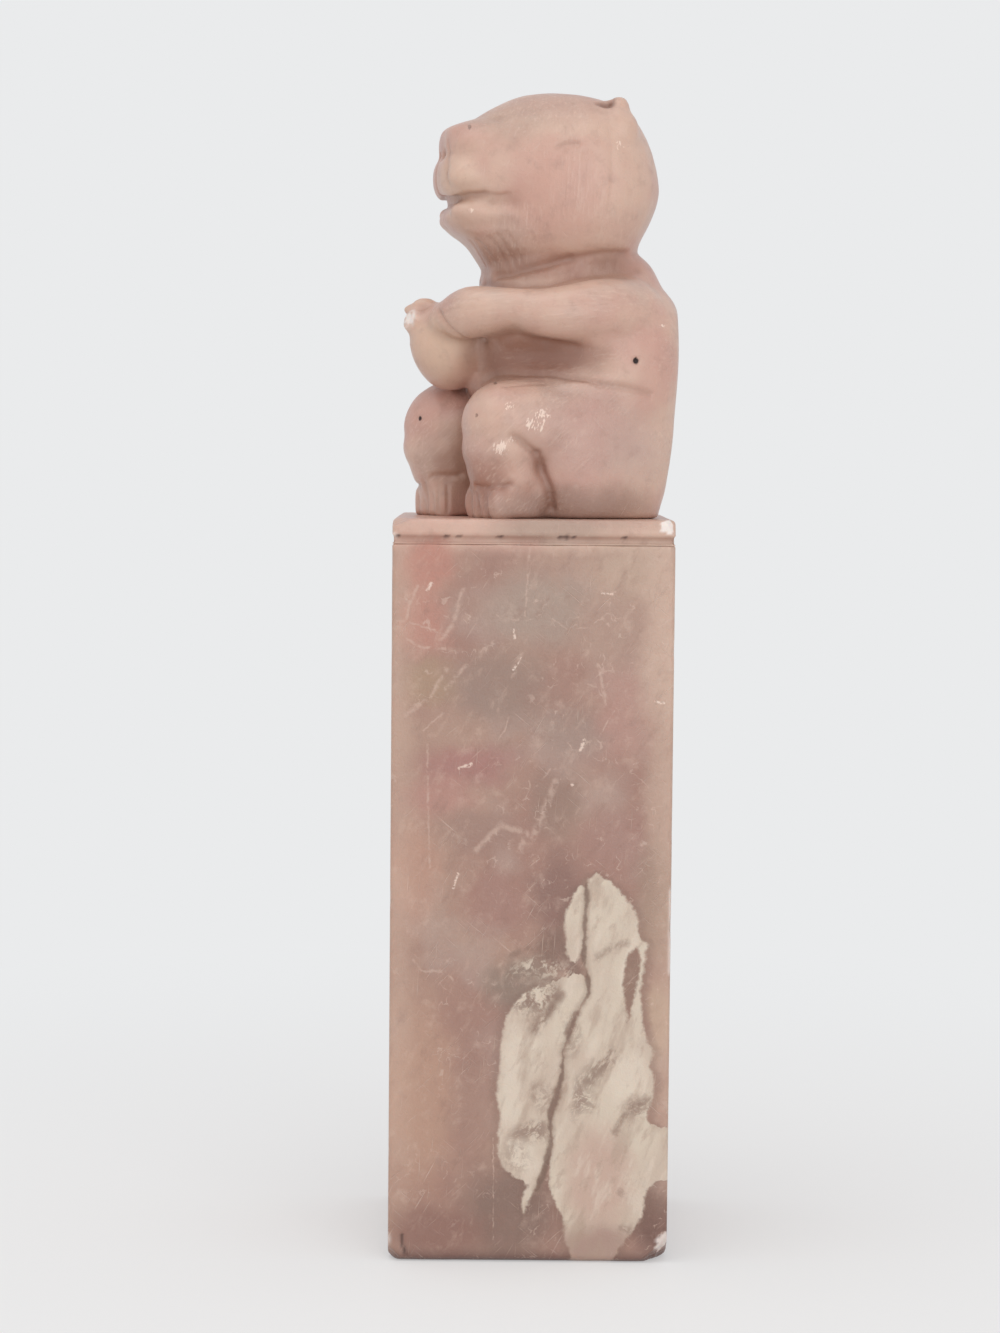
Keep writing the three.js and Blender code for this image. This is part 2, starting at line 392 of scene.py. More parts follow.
# %% Stone: ground
carved = rock.mix(slow.between(0.38, 0.62), paint(211, 178, 159), paint(202, 159, 144))
handled = rock.mix(slow.between(0.36, 0.64), paint(175, 142, 125), paint(162, 124, 110))
colour = rock.mix(z.between(TOP - 1.0, TOP + 0.4), handled, carved)
colour = laid(slower.between(0.5, 0.7) * 0.4, colour, 181, 158, 147)
so_far("ground:")

# %% [markdown]
# Over the ground go the clouds, soft patches where the stone is redder, greyer or darker. They
# follow the photograph, and on the sides that don't show they are made up in the same style.

# %% Stone: clouds
# A few clouds on the figure are painted shade: under the haunch, under the forearm and on the throat.
# Each cloud: its middle, its reach, its colour and how strongly it shows.
CLOUDS = [
    ((-7.4, -10, 50.2), (2.8, 5, 3), (189, 131, 115), 0.85),
    ((-7.8, -10, 46), (2.4, 5, 3.4), (190, 137, 121), 0.75),
    ((-4.6, -10, 35.8), (4.2, 5, 2), (168, 119, 111), 0.85),
    ((-6.6, -10, 33.4), (3.4, 5, 2), (182, 132, 121), 0.6),
    ((-7.4, -10, 41.6), (2.8, 5, 2.2), (172, 143, 118), 0.75),
    ((-8.4, -10, 28), (2.4, 6, 5), (190, 146, 126), 0.6),
    ((-7.8, -10, 12), (3.4, 6, 9), (186, 148, 127), 0.8),
    ((0.4, -10, 46.8), (5.2, 5, 3.4), (168, 147, 133), 0.8),
    ((-2.3, -10, 41.2), (4.6, 6, 3.6), (149, 123, 110), 0.8),
    ((2.6, -10, 38.2), (3.5, 5, 2.5), (156, 132, 120), 0.6),
    ((6.6, -10, 39.8), (2.6, 5, 4.6), (180, 137, 124), 0.7),
    ((1.8, -10, 33), (2.4, 5, 3.4), (148, 120, 106), 0.75),
    ((6, -10, 30.6), (3.4, 6, 3), (166, 127, 115), 0.75),
    ((-3.6, -10, 31), (3.8, 5, 2), (158, 126, 113), 0.7),
    ((-2.6, -10, 26), (3.4, 5, 3), (160, 117, 105), 0.7),
    ((2, -10, 26.4), (2.6, 6, 4), (140, 106, 95), 0.9),
    ((-0.6, -10, 20), (3.4, 5, 2.8), (142, 121, 107), 0.9),
    ((8.9, -10, 25.6), (2, 4, 5), (160, 131, 113), 0.9),
    ((8.8, -10, 28.6), (1.8, 4, 3), (156, 126, 110), 0.8),
    ((7.3, -10, 20.3), (1, 3, 3.6), (152, 123, 105), 0.7),
    ((1.6, -10, 22.6), (2.2, 4, 1.7), (126, 98, 85), 0.8),
    ((3.3, -10, 21.1), (0.9, 3, 1.3), (116, 88, 75), 0.7),
    ((7, -10, 49.4), (4, 5, 3.2), (196, 170, 150), 0.6),
    ((9.2, -10, 44.5), (2.4, 4, 8), (196, 166, 148), 0.85),
    ((5.4, -10, 45.4), (3.2, 5, 3.6), (177, 147, 131), 0.8),
    ((9.4, -10, 33.5), (1.8, 4, 6), (184, 154, 137), 0.7),
    # painted shade under the haunch, where it meets the ledge
    ((2.5, -8, 54), (8.5, 6, 2.2), (164, 132, 118), 0.85),
    ((-6, -10, 52.6), (5, 5, 1), (214, 180, 162), 0.6),
    # painted shade under the forearm
    ((1, -6, 64.6), (5.5, 3, 2), (158, 118, 104), 0.8),
    ((1, -10, 52.4), (5.5, 3, 1.2), (176, 150, 134), 0.75),
    ((9.2, -10, 17.5), (1.4, 4, 4), (188, 160, 136), 0.8),
    ((-4, -10, 12), (2.2, 5, 7), (163, 128, 114), 0.6),
    ((-1.4, -10, 3.6), (4.4, 7, 4.6), (133, 107, 95), 0.9),
    ((9.3, -10, 3), (2.4, 5, 3.6), (118, 86, 75), 0.95),
    ((-6.4, -10, 2.2), (4.4, 7, 2.4), (144, 106, 94), 0.85),
    ((-6.2, -6, 77.6), (2.6, 5, 3.2), (216, 185, 164), 0.8),
    ((1.6, -6, 76), (4.6, 5, 4.4), (205, 160, 144), 0.7),
    ((-1.8, -5, 81.6), (4.2, 6, 2), (182, 152, 134), 0.6),
    ((2, -3, 83), (5, 8, 2), (190, 154, 138), 0.6),
    ((-5, -6, 65), (4, 5, 4), (207, 176, 156), 0.7),
    ((-7.2, -4, 65.4), (3, 5, 3.4), (218, 188, 162), 0.65),
    ((7, 0, 58), (4, 12, 4), (186, 164, 154), 0.6),
    ((3.6, -8, 59.6), (6.5, 6, 4.6), (186, 152, 141), 0.55),
    # painted shade under the forearm, beside the peach
    ((-2.7, -6, 64.6), (3, 3, 2), (150, 108, 90), 0.85),
    # painted shade on the throat, under the jaw
    ((-3.2, -5, 71.6), (3.4, 3, 1.8), (152, 112, 94), 0.7),
    ((-5.5, -5, 56.5), (3.8, 5, 3.2), (160, 118, 98), 0.75),
    ((-3.1, -8.5, 55.9), (1.9, 3, 1.9), (158, 112, 94), 0.7),
    ((6, 10, 36), (6, 5, 9), (170, 138, 124), 0.8),
    ((-5, 10, 22), (5, 5, 8), (182, 134, 122), 0.7),
    ((-10, 2, 28), (4, 6, 9), (168, 134, 122), 0.7),
    ((-10, 4, 9), (4, 5, 6), (188, 142, 128), 0.7),
    ((10, -1, 40), (4, 6, 7), (180, 140, 127), 0.7),
    ((10, 4, 18), (4, 5, 8), (158, 124, 112), 0.8),
]
for middle, reach, tint, share in CLOUDS:
    inside = patch(bent, middle, reach).between(1.1, 0.35)
    colour = laid(inside * share, colour, *tint)
so_far(len(CLOUDS), "clouds,")

# %% [markdown]
# Between the clouds the colour drifts in slanting layers and in fine mottling. The layers are
# weak on the figure, where they would look like fur. Near its long edges the block is paler,
# because light comes through the stone there, and it is darker towards its foot.

# %% Stone: layers, mottling and edges
flat = z.between(TOP + 1.0, TOP + 0.2) * 0.8 + 0.2
colour = laid(flow.between(0.52, 0.74) * flat * 0.36, colour, 144, 108, 94)
colour = laid(flow.between(0.46, 0.26) * flat * 0.3, colour, 204, 174, 156)
edge = abs(x).least(abs(y)).between(7.4, 10.0)
colour = laid(edge * z.between(2.0, 7.0) * 0.36, colour, 214, 184, 164)
colour = laid(fine.between(0.5, 0.78) * 0.3, colour, 158, 124, 112)
colour = laid(fine.between(0.46, 0.22) * 0.25, colour, 220, 192, 174)
colour = laid(grain.between(0.6, 0.78) * 0.2, colour, 140, 104, 92)
colour = laid(z.between(1.3, 0.0) * 0.75, colour, 96, 66, 62)
so_far("layers and edges:")

# %% [markdown]
# The cream vein has a clear outline that soft clouds can't give. Each of its bodies lies between
# a left and a right curve by height, in the torn place, so that the edge is ragged. A strip of
# brown stone runs down inside it. On the sides that don't show, a few patches have to do.

# %% Stone: where the vein is
# Each body's left and right outline: the height, and then the place across.
BODIES = [
    (
        [(-1, 3.2), (0.5, 3), (1.7, 2.6), (3.1, 2.5), (4.3, 1.95), (5.5, 1.5), (8.3, 1.6), (9.9, 1.6),
         (12.8, 2.15), (15.6, 2.55), (17, 2.95), (18.4, 3.6), (19.6, 4.3), (20.6, 4.2), (22.3, 3.85),
         (24.7, 3.9), (27, 3.95), (27.8, 4.3), (28.4, 5.5)],
        [(-1, 5.4), (0.6, 6.4), (1.6, 7), (3.6, 8.3), (4.9, 8.5), (5.8, 9), (6.2, 10.6), (9.6, 10.6),
         (10.1, 8.7), (12.1, 8.9), (13.3, 9.05), (14.3, 8.65), (15.3, 8.9), (16.1, 8.4), (19.3, 8),
         (22.5, 8.25), (23.2, 8.3), (23.6, 7.8), (24.9, 7.6), (26.1, 7), (27, 6.2), (27.9, 5.2),
         (28.4, 4)],
    ),
    (
        [(3.2, 0.2), (3.6, -0.4), (4.7, -0.35), (5.5, -0.1), (6.1, -1), (6.8, -1.8), (9.3, -2.2),
         (10.7, -2.1), (12, -2.35), (14.9, -2.05), (16.6, -1.95), (17.8, -1.65), (19, -0.9),
         (19.9, 0.3), (20.4, 1.8), (20.9, 3.5)],
        [(3.2, -0.4), (4.3, 0.1), (5.5, 0.65), (7.2, 1.25), (8.4, 1.7), (9.9, 1.65), (12.8, 2.2),
         (15.6, 2.6), (17, 3), (18.4, 3.65), (19.6, 4.3), (20.5, 4.15), (20.9, 3.6)],
    ),
    (
        [(21.5, 3.6), (22, 2.75), (23.3, 2.5), (25.1, 2.45), (26, 2.75), (26.8, 3.1), (27.4, 4.4)],
        [(21.5, 3), (22.1, 3.6), (23, 3.9), (26.9, 3.95), (27.4, 3.6)],
    ),
]
STRIP = (
    [(16.8, 7.3), (17.5, 6.95), (18.5, 6.8), (19.5, 6.7), (21, 6.65), (22.2, 6.9), (23, 7.6)],
    [(16.8, 6.9), (17.6, 7.05), (18.5, 7.3), (19.5, 7.6), (21, 7.8), (22.3, 7.85), (23, 7.4)],
)
# middle and reach
VEIN = [
    ((10, -7.4, 8.4), (3, 5.4, 3.4)),
    ((10, -3.4, 12.6), (3, 2.6, 4.6)),
    ((2.6, 10, 12), (3.2, 3, 7)),
    ((0.4, 10, 20.5), (1.6, 3, 4.2)),
    ((-10, 6, 40), (3, 1.6, 4.6)),
]
across, _, up = axes(torn)
vein = most_of([body(across, up, left, right) for left, right in BODIES])
front = y.between(-6.5, -7.5)
colour = laid(vein.between(-0.8, -0.1) * front * 0.35, colour, 126, 98, 84)
vein = vein.between(-0.1, 0.22) * front * body(across, up, *STRIP).between(0.2, -0.1)
blot = (rock.noise(place, 0.3, 5.0, 0.65) - 0.5) * 4.5
for middle, reach in VEIN:
    inside = (patch(torn, middle, reach) + blot).between(1.06, 0.9)
    vein = vein.most(inside * y.between(-9.9, -9.7))
print(len(BODIES), "bodies and", len(VEIN), "hidden patches of vein")

# %% [markdown]
# Inside, the vein is cream with rosy and dirty parts. The colours are laid over one another as on
# the ground: first where noise decides, then whole regions, then single spots. Where the vein
# breaks up at its upper left, flecks of it lie scattered in the brown.

# %% Stone: the vein's colours
ROSY, DIRTY, WHITEST = (196, 164, 148), (166, 132, 120), (222, 207, 189)
# The vein's regions: middle, reach and colour.
REGIONS = [
    ((5, -10, 6.2), (3.2, 8, 4.6), ROSY),
    ((5.2, -10, 0.6), (4, 8, 3), DIRTY),
    ((7.2, -10, 13.4), (1.8, 4, 2.6), WHITEST),
    ((-1.3, -10, 12.4), (1.2, 4, 3.2), WHITEST),
    ((-0.3, -10, 7.6), (1.4, 4, 1.8), WHITEST),
    ((8.3, -10, 22.2), (0.5, 4, 1.2), WHITEST),
    ((-0.3, -10, 15.4), (1.8, 4, 2.2), WHITEST),
]
# Darker spots in it: middle, reach and strength.
SPOTS = [
    ((3.6, -10, 11.8), (0.7, 3, 1.9), 0.5),
    ((1, -10, 12), (0.8, 3, 1.4), 0.5),
    ((0.4, -10, 9.5), (1.5, 3, 0.9), 0.75),
    ((-0.9, -10, 7.6), (1.2, 3, 1.6), 0.45),
    ((8, -10, 11.3), (1.2, 3, 1.1), 0.6),
    ((2.9, -10, 16.2), (0.9, 3, 1.6), 0.45),
    ((0.2, -10, 19.3), (2.4, 3, 1.7), 0.9),
    ((3.9, -10, 11.9), (0.9, 3, 1.5), 0.5),
    ((6.7, -10, 5.2), (0.5, 3, 0.5), 0.4),
    ((7.1, -10, 2.6), (0.7, 3, 0.4), 0.5),
]
cream = rock.mix(slower.between(0.4, 0.62), paint(213, 197, 178), paint(204, 185, 167))
for middle, reach, tint in REGIONS:
    inside = patch(bent, middle, reach).between(1.1, 0.4)
    cream = laid(inside * 0.8, cream, *tint)
cloudy = streaky(place, 1.25, (4.5, 1.3, 1.3), 0.9, 4.0, 0.6)
cream = laid(cloudy.between(0.5, 0.66) * 0.55, cream, 178, 154, 136)
cream = laid(cloudy.between(0.46, 0.34) * 0.45, cream, 224, 209, 192)
cream = laid(flow.between(0.54, 0.7) * 0.45, cream, 172, 146, 128)
mottle = streaky(bent, 0.85, (0.8, 0.5, 0.5), 1.0, 5.0, 0.75)
for middle, reach, share in SPOTS:
    inside = patch(bent, middle, reach).between(1.3, 0.3) * mottle.between(0.4, 0.56)
    cream = laid(inside * share, cream, 140, 112, 98)
speckled = patch(bent, (1.0, -10, 20.6), (2.9, 4, 1.9)).between(1.05, 0.5)
colour = rock.mix(vein.most(speckled * mottle.between(0.46, 0.6) * 0.85), colour, cream)
so_far("vein:")

# %% [markdown]
# A crack runs down the vein, with a soft brown border and a dark line whose width changes along
# it. Shorter rifts branch off. They are drawn through the streaky noise, so that they open and
# close along their length as the real ones do.

# %% Stone: crack and rifts
# Places across and up on the front.
CRACK = [
    (4, 27.3), (3.85, 25.2), (3.9, 22.3), (4.15, 20.9), (4.25, 19.6), (3.5, 18.3), (2.9, 17),
    (2.5, 15.6), (2.4, 13.8), (2.1, 12.7), (1.6, 10.6), (1.6, 8.6), (1.3, 7.2), (0.6, 5.2),
]
# Half width, strength and line.
RIFTS = [
    (0.26, 0.6, [(6.1, 9.5), (6.7, 10.5), (7.5, 11.3), (8.6, 11.9)]),
    (0.26, 0.6, [(-1.4, 22.2), (-0.2, 22.8), (1.3, 23)]),
    (0.5, 0.75, [(2.1, 19.4), (1.1, 17.9), (0.4, 16.9)]),
    (0.8, 0.75, [(4.2, 13.2), (4.9, 14), (5.8, 15)]),
    (0.34, 0.5, [(4.8, 22.1), (5.8, 22.8), (6.8, 23.1)]),
    (0.3, 0.9, [(3.3, 18), (2.7, 16.6)]),
    (0.3, 0.9, [(2.1, 12.6), (1.7, 10.8)]),
]
crack = streak(eased, CRACK)
width = rock.noise(place, 0.5, 2.0).between(0.34, 0.66) * 0.2
colour = laid(crack.between(0.5, 0.1) * 0.4, colour, 152, 126, 108)
colour = laid((width - crack).between(-0.14, 0.06) * 0.8, colour, 122, 96, 81)
for reach, share, points in RIFTS:
    rift = streak(torn, points).between(reach * 1.5, 0.0)
    colour = laid(rift * flow.between(0.38, 0.52) * share, colour, 134, 106, 91)
so_far(len(RIFTS), "rifts,")

# %% [markdown]
# The polish is scratched from handling. The long soft scratches and the bright nicks follow the
# photograph. Noise draws the countless fine ones between them: curled ones are its contour lines,
# and straight hairs are noise stretched until it turns into lines, in four directions.

# %% Stone: scratches, nicks and hairs
# Half width and line.
SCRATCHES = [
    (0.17, [(-8.2, 48.4), (-8.9, 46.8), (-9, 44.7), (-7.9, 44.1), (-6.2, 44)]),
    (0.26, [(-5, 48.2), (-5.7, 45.7), (-6.8, 44.3)]),
    (0.12, [(-9.7, 46), (-8.2, 45.7), (-6.6, 45.2)]),
    (0.2, [(-0.3, 51.2), (-0.4, 49.3)]),
    (0.1, [(-0.4, 49.3), (-0.6, 46.4)]),
    (0.28, [(-6.1, 42.5), (-7.4, 40.4), (-9, 39.3)]),
    (0.24, [(-4.7, 42.9), (-6.1, 41.2)]),
    (0.34, [(-3.9, 29.7), (-2.2, 31.5), (-0.3, 30.9), (-0.8, 29.7)]),
    (0.4, [(1.7, 34.6), (0.6, 31.9), (0.1, 30.5)]),
    (0.12, [(-7.4, 37.2), (-7.35, 33.6), (-7.2, 28.4)]),
    (0.18, [(4.6, 43), (5, 41.2), (5.2, 40.2)]),
    (0.3, [(-0.8, 43.8), (-1.5, 42.2)]),
    (0.1, [(4.8, 48.2), (5.8, 48.1)]),
    (0.14, [(-8.3, 21.8), (-7.8, 21), (-6, 21), (-5.5, 20.4)]),
    (0.08, [(-2.5, 9), (-2.45, 1.6)]),
    (0.1, [(0.2, 47.5), (0.9, 47.3), (1.2, 46.8)]),
    (0.1, [(-1.5, 46.1), (-0.2, 46.1), (0.5, 46.5)]),
    (0.1, [(1.4, 46.2), (2.4, 45.5), (4, 45.6)]),
    (0.09, [(5.4, 47.4), (5.4, 46.7), (5.8, 46.3)]),
    (0.11, [(3.9, 41.6), (4.5, 41.4), (5, 40.6)]),
    (0.1, [(-2.4, 37.6), (-1.9, 38.3), (-1.7, 39.2)]),
    (0.1, [(4.8, 37.9), (5.3, 38.9), (5.8, 39.7)]),
    (0.12, [(0.4, 34.3), (1.3, 35.5)]),
    (0.12, [(-7.7, 38.2), (-6.4, 39.4)]),
]
NICKS = [
    (0.2, [(-7.5, 48.2), (-7.2, 48.6)]),
    (0.1, [(4.9, 48), (5.6, 48)]),
    (0.1, [(-0.8, 43.4), (-1.4, 42.6)]),
    (0.12, [(8.7, 40.4), (9.3, 40.3)]),
    (0.18, [(3.7, 37.6), (3.4, 36.9)]),
    (0.16, [(-5.2, 35.5), (-4.3, 35.8)]),
    (0.15, [(2.8, 34.4), (2.9, 34.4)]),
    (0.12, [(-1.4, 45.4), (-1.3, 44.8)]),
    (0.14, [(-5.5, 27), (-5.2, 28)]),
]
scratch = least_of([streak(wander, points) * (1 / reach) for reach, points in SCRATCHES])
scratched = scratch.between(1.0, 0.1) * rock.noise(place, 1.4, 3.0, 0.6).between(0.36, 0.58)
colour = laid(scratched * 0.5, colour, 210, 182, 166)
curl = abs(rock.noise(torn, 0.8, 1.0) - 0.5).between(0.016, 0.003)
curl = curl * rock.noise(place, 0.9, 2.0).between(0.52, 0.6) * slow.between(0.42, 0.56) * flat * (1 - vein)
colour = laid(curl * 0.42, colour, 214, 188, 172)
nick = least_of([streak(wander, points) * (1 / reach) for reach, points in NICKS])
colour = laid(nick.between(1.0, 0.3) * grain.between(0.4, 0.52) * 0.8, colour, 236, 212, 196)

HAIR_LEANS = [(1.05, 3.0), (0.75, 17.0), (1.5, 29.0), (-0.7, 41.0)]
drawn = [streaky(place, lean, (3.2, 0.2, 0.16), 1.0, 1.0, shift=shift) for lean, shift in HAIR_LEANS]
hairs = most_of([hair.between(0.66, 0.76) for hair in drawn])
hairs = hairs * rock.noise(place, 0.35, 2.0).between(0.4, 0.62) * (1 - vein * 0.8) * (flat * 0.6 + 0.4)
so_far(len(SCRATCHES), "scratches,", len(NICKS), "nicks,")

# %% [markdown]
# On the figure a few tiny chips have broken off, and each shows a handful of bright flakes, painted
# glints where the chip catches the light. The carver's fine tool marks run level on the arms,
# upright on the head and slanting on the haunch, and the pale side of the level ones is partly painted
# sheen.

# %% Stone: painted glints, sheen and tool marks on the animal
# The part's frame, the place and the reach across.
ANIMAL_CHIP_GLINTS = [
    (HIPS, (5.8, 7.1, 7.95), 0.3),
    (HIPS, (4.1, 7.8, 6.7), 0.6),
    (HIPS, (3.6, 7.9, 7.4), 0.5),
    (HIPS, (6.3, 6.7, 5), 0.5),
    (HIPS, (5.7, 7.2, 5.7), 0.3),
    (HEAD, (5.4, 3.6, 21.9), 0.2),
    (HEAD, (-4.9, 6, 26.6), 0.3),
    (UPPER, (-7.5, 7.3, 13.8), 0.16),
]
chipped = least_of([
    patch(wander, tuple(on_part(part, at)), (reach, 1.2, reach)) for part, at, reach in ANIMAL_CHIP_GLINTS
])
glint_streaks = streaky(place, 1.3, (0.42, 0.14, 0.14))
glint_flakes = (glint_streaks - chipped * 0.12).between(0.42, 0.5)
# Painted glints: bright flakes where tiny chips catch the light.
colour = laid(glint_flakes * chipped.between(1.3, 1.0) * 0.85, colour, 240, 216, 200)
colour = laid(hairs * 0.35, colour, 222, 194, 178)
# lean, and the lowest and the highest place
STROKES_AND_SHEEN = [(0.75, 53.4, 63.5), (0.08, 63.5, 69.8), (1.5, 70.4, 90.0)]
strokes_and_sheen = 0.0
for lean, low, high in STROKES_AND_SHEEN:
    drawn = streaky(place, lean, (2.2, 0.24, 0.2), roughness=0.6) - 0.5
    strokes_and_sheen += drawn * z.between(low - 0.5, low + 0.5) * z.between(high + 0.5, high - 0.5)
strokes_and_sheen = strokes_and_sheen * slower.between(0.35, 0.6)
# The pale side of the strokes is partly painted sheen: along the arms it stands for streaks of highlight.
colour = laid(strokes_and_sheen.between(0.02, 0.2) * 0.24, colour, 228, 202, 184)
colour = laid(strokes_and_sheen.between(-0.04, -0.24) * 0.16, colour, 162, 122, 106)
so_far(len(ANIMAL_CHIP_GLINTS), "chips on the animal,")

# %% [markdown]
# Last come the marks that the pieces bring along. Each point of their meshes keeps three values:
# how much painted shade it gets, in hollows, creases, the groove and under the figure's parts,
# how dark it is from dirt and marks or from painted shade in the ears' cups, and how pale from a
# fresh chip or from a painted highlight along the block's right edge. Pits are dark red holes in the
# stone.

# %% Stone: painted shade, dirt, pits and chips
# The part's frame, the place, the reach across and the strength.
ANIMAL_PITS = [
    (UPPER, (-5.33, 8.2, 11.25), 0.19, 1),
    (HIPS, (7.6, -3.4, 7.1), 0.13, 0.9),
    (HIPS, (5.8, 4.9, 9.6), 0.12, 0.5),
    (HEAD, (5.5, 3.3, 27.9), 0.13, 0.4),
    (HIPS, (7.6, 5.5, 7.3), 0.1, 0.4),
]


def kept(name):
    """The value that each point of the mesh keeps under a name."""
    return rock.node("Attribute", {"attribute_name": name}, output=2)


# Painted shade in hollows, creases, the groove and under the figure's parts.
colour = laid(kept("shaded_hollow") * 0.85, colour, 144, 100, 82)
# Dirt and marks on the block and the ledge, and painted shade in the ears' cups.
colour = laid(kept("dark"), colour, 72, 42, 34)
for part, at, reach, share in ANIMAL_PITS:
    pit = patch(wander, tuple(on_part(part, at)), (reach, 1.2, reach * 1.3)).between(1.25, 0.7)
    colour = laid(pit * share, colour, 36, 8, 5)
# Fresh chips show pale, and so does the painted highlight along the block's right edge.
colour = laid(kept("pale"), colour, 240, 228, 220)
print(len(ANIMAL_PITS), "pits on the animal")

# %% [markdown]
# Soft seal stone takes a waxy polish: a low roughness that mottling, hairs and scratches raise a
# little, some light that enters and comes out again nearby, redder than it went in, and a skin
# that isn't quite flat, which the bump gives.

# %% Stone: polish
bumps = grain * 0.5 + fine * 0.5 + strokes_and_sheen * 0.45 - hairs * 0.35
skin_bump = rock.node("Bump", {}, {"Height": bumps, "Distance": 0.06 * MM})
polish = {
    "Base Color": colour,
    "Roughness": fine * 0.16 + hairs * 0.12 + scratched * 0.2 + 0.24,
    "IOR": 1.54,
    "Subsurface Weight": 0.12,
    "Subsurface Radius": (1.0, 0.5, 0.35),
    "Subsurface Scale": 1.0 * MM,
    "Normal": skin_bump,
}
surface = rock.node("BsdfPrincipled", {}, polish)
rock.node("OutputMaterial", {}, {"Surface": surface})
so_far("polish:")

# %% [markdown]
# The three pieces have a fine skin, so that wear, chips and tool marks can be cut into them. A
# carver takes material away, and so does this: each mark presses the skin's points inward along
# their normals, deepest at the middle of the mark.

# %% A skin to carve
class Skin:
    """The points of a mesh in millimetres, with what carving needs to know about them."""

    def __init__(self, mesh):
        self.mesh = mesh
        self.place = np.array([v.co for v in mesh.vertices], float) / MM
        self.ends = np.array([e.vertices for e in mesh.edges], int)
        self.valence = np.bincount(self.ends.ravel(), minlength=len(self.place))[:, None]
        self.measure()

    def measure(self):
        """Works out the normals again, and the tree that finds the nearest spot on the skin."""
        self.mesh.vertices.foreach_set("co", (self.place * MM).ravel())
        self.mesh.update()
        self.normal = np.array([n.vector for n in self.mesh.vertex_normals], float)
        faces = [tuple(p.vertices) for p in self.mesh.polygons]
        self.tree = BVHTree.FromPolygons([Vector(p) for p in self.place], faces)

    def nearest(self, place):
        """The spot on the skin that is nearest to a place."""
        return self.tree.find_nearest(Vector(place))[0]

    def neighbours(self, values):
        """The mean of each point's neighbours."""
        total = np.zeros_like(values)
        for column in range(values.shape[1]):
            for a, b in ((0, 1), (1, 0)):
                weights = values[self.ends[:, b], column]
                total[:, column] += np.bincount(self.ends[:, a], weights, minlength=len(values))
        return total / self.valence

    def ease(self, times, share=0.5, where=None):
        """Smooths the skin. where is a weight for each point."""
        weight = share if where is None else share * where[:, None]
        for _ in range(times):
            self.place = self.place + (self.neighbours(self.place) - self.place) * weight

    def near(self, centre, reach):
        """1 at the centre, falling smoothly to 0 at reach, which is one length or three."""
        away = np.linalg.norm((self.place - np.array(centre)) / np.array(reach), axis=1)
        left = np.clip(1 - away, 0, 1)
        return left**2 * (3 - 2 * left)

    def press(self, amount):
        """Moves each point inward by its amount in millimetres, or outward where that is below 0."""
        self.place = self.place - self.normal * amount[:, None]

    def wavy(self, size, seed=0.0):
        """A smooth noise of about that size in millimetres, from -1 to 1, for each point."""
        shift = Vector((seed, seed, seed))
        return np.array([noise.noise(Vector(p) / size + shift) for p in self.place])

    def keep(self, name, values):
        """Keeps a value for each point that the finish reads by name."""
        kept = self.mesh.attributes.new(name, "FLOAT", "POINT")
        kept.data.foreach_set("value", values.astype(np.float32))


print("a skin can be measured, eased, pressed and read at a place")

# %% [markdown]
# The block and the ledge are bars of stone, but a plain box gives itself away at its edges. Six
# grids make each box, with closer lines towards the edges, where the detail is. Then the edges
# are rounded by a radius that noise varies, as years of handling do.

# %% Bars of stone
CROWDING = 0.75


def bar(name, low, high, cuts):
    """A closed box from low to high, as six grids with cuts lines each way."""
    box = bmesh.new()
    quarter = math.pi / 2
    sides = [("X", 0, 0, 1), ("X", 2, 0, 1), ("X", 1, 0, 2), ("X", -1, 0, 2)]
    sides += [("Y", 1, 2, 1), ("Y", -1, 2, 1)]
    for axis, quarters, across, along in sides:
        out = Matrix.Rotation(quarters * quarter, 4, axis) @ Matrix.Translation((0, 0, 1))
        bmesh.ops.create_grid(box, x_segments=cuts[across], y_segments=cuts[along], size=1, matrix=out)
    bmesh.ops.remove_doubles(box, verts=box.verts, dist=1e-4)
    bmesh.ops.recalc_face_normals(box, faces=box.faces)
    middle = (Vector(low) + Vector(high)) / 2
    half = (Vector(high) - Vector(low)) / 2
    for vertex in box.verts:
        spread = [(1 - CROWDING) * c + CROWDING * math.sin(c * quarter) for c in vertex.co]
        vertex.co = Vector(m + h * c for m, h, c in zip(middle, half, spread)) * MM
    mesh = bpy.data.meshes.new(name)
    box.to_mesh(mesh)
    box.free()
    print(name, len(mesh.vertices), "points")
    return Skin(mesh)


def round_edges(skin, low, high, radius):
    """Rounds a box's edges. radius is a value for each point."""
    each = radius[:, None]
    inner = np.clip(skin.place, np.array(low) + each, np.array(high) - each)
    out = skin.place - inner
    length = np.linalg.norm(out, axis=1, keepdims=True)
    toward = np.where(length > 1e-9, out / np.maximum(length, 1e-9), 0)
    skin.place = inner + toward * np.minimum(length, each)


def finished(mesh, node):
    """Puts a mesh in the scene as the piece that stands for a CAD node."""
    piece = bpy.data.objects.new(mesh.name, mesh)
    bpy.context.scene.collection.objects.link(piece)
    mesh.materials.clear()
    mesh.materials.append(rock.owner)
    mesh.shade_smooth()
    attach(piece, "root")
    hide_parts(node)
    print(piece.name, len(mesh.polygons), "faces")


# %% [markdown]
# The block's long edges are nearly sharp, its foot is more worn, because that is where it is set
# down, and its top edge is crisp against the groove.

# %% Block
EDGE_RADIUS, UNEVEN = 0.28, 0.1
FOOT_WEAR, TOP_CRISP = 0.42, 0.16
WORN_UP_TO = 1.6
block = bar("stone_block", BLOCK_LOW, BLOCK_HIGH, (72, 72, 190))
low_down = np.clip(1 - block.place[:, 2] / WORN_UP_TO, 0, 1)
high_up = np.clip((block.place[:, 2] - (TOP - 0.8)) / 0.6, 0, 1)
radius = EDGE_RADIUS + UNEVEN * block.wavy(2.2) + FOOT_WEAR * low_down - TOP_CRISP * high_up
round_edges(block, BLOCK_LOW, BLOCK_HIGH, radius)

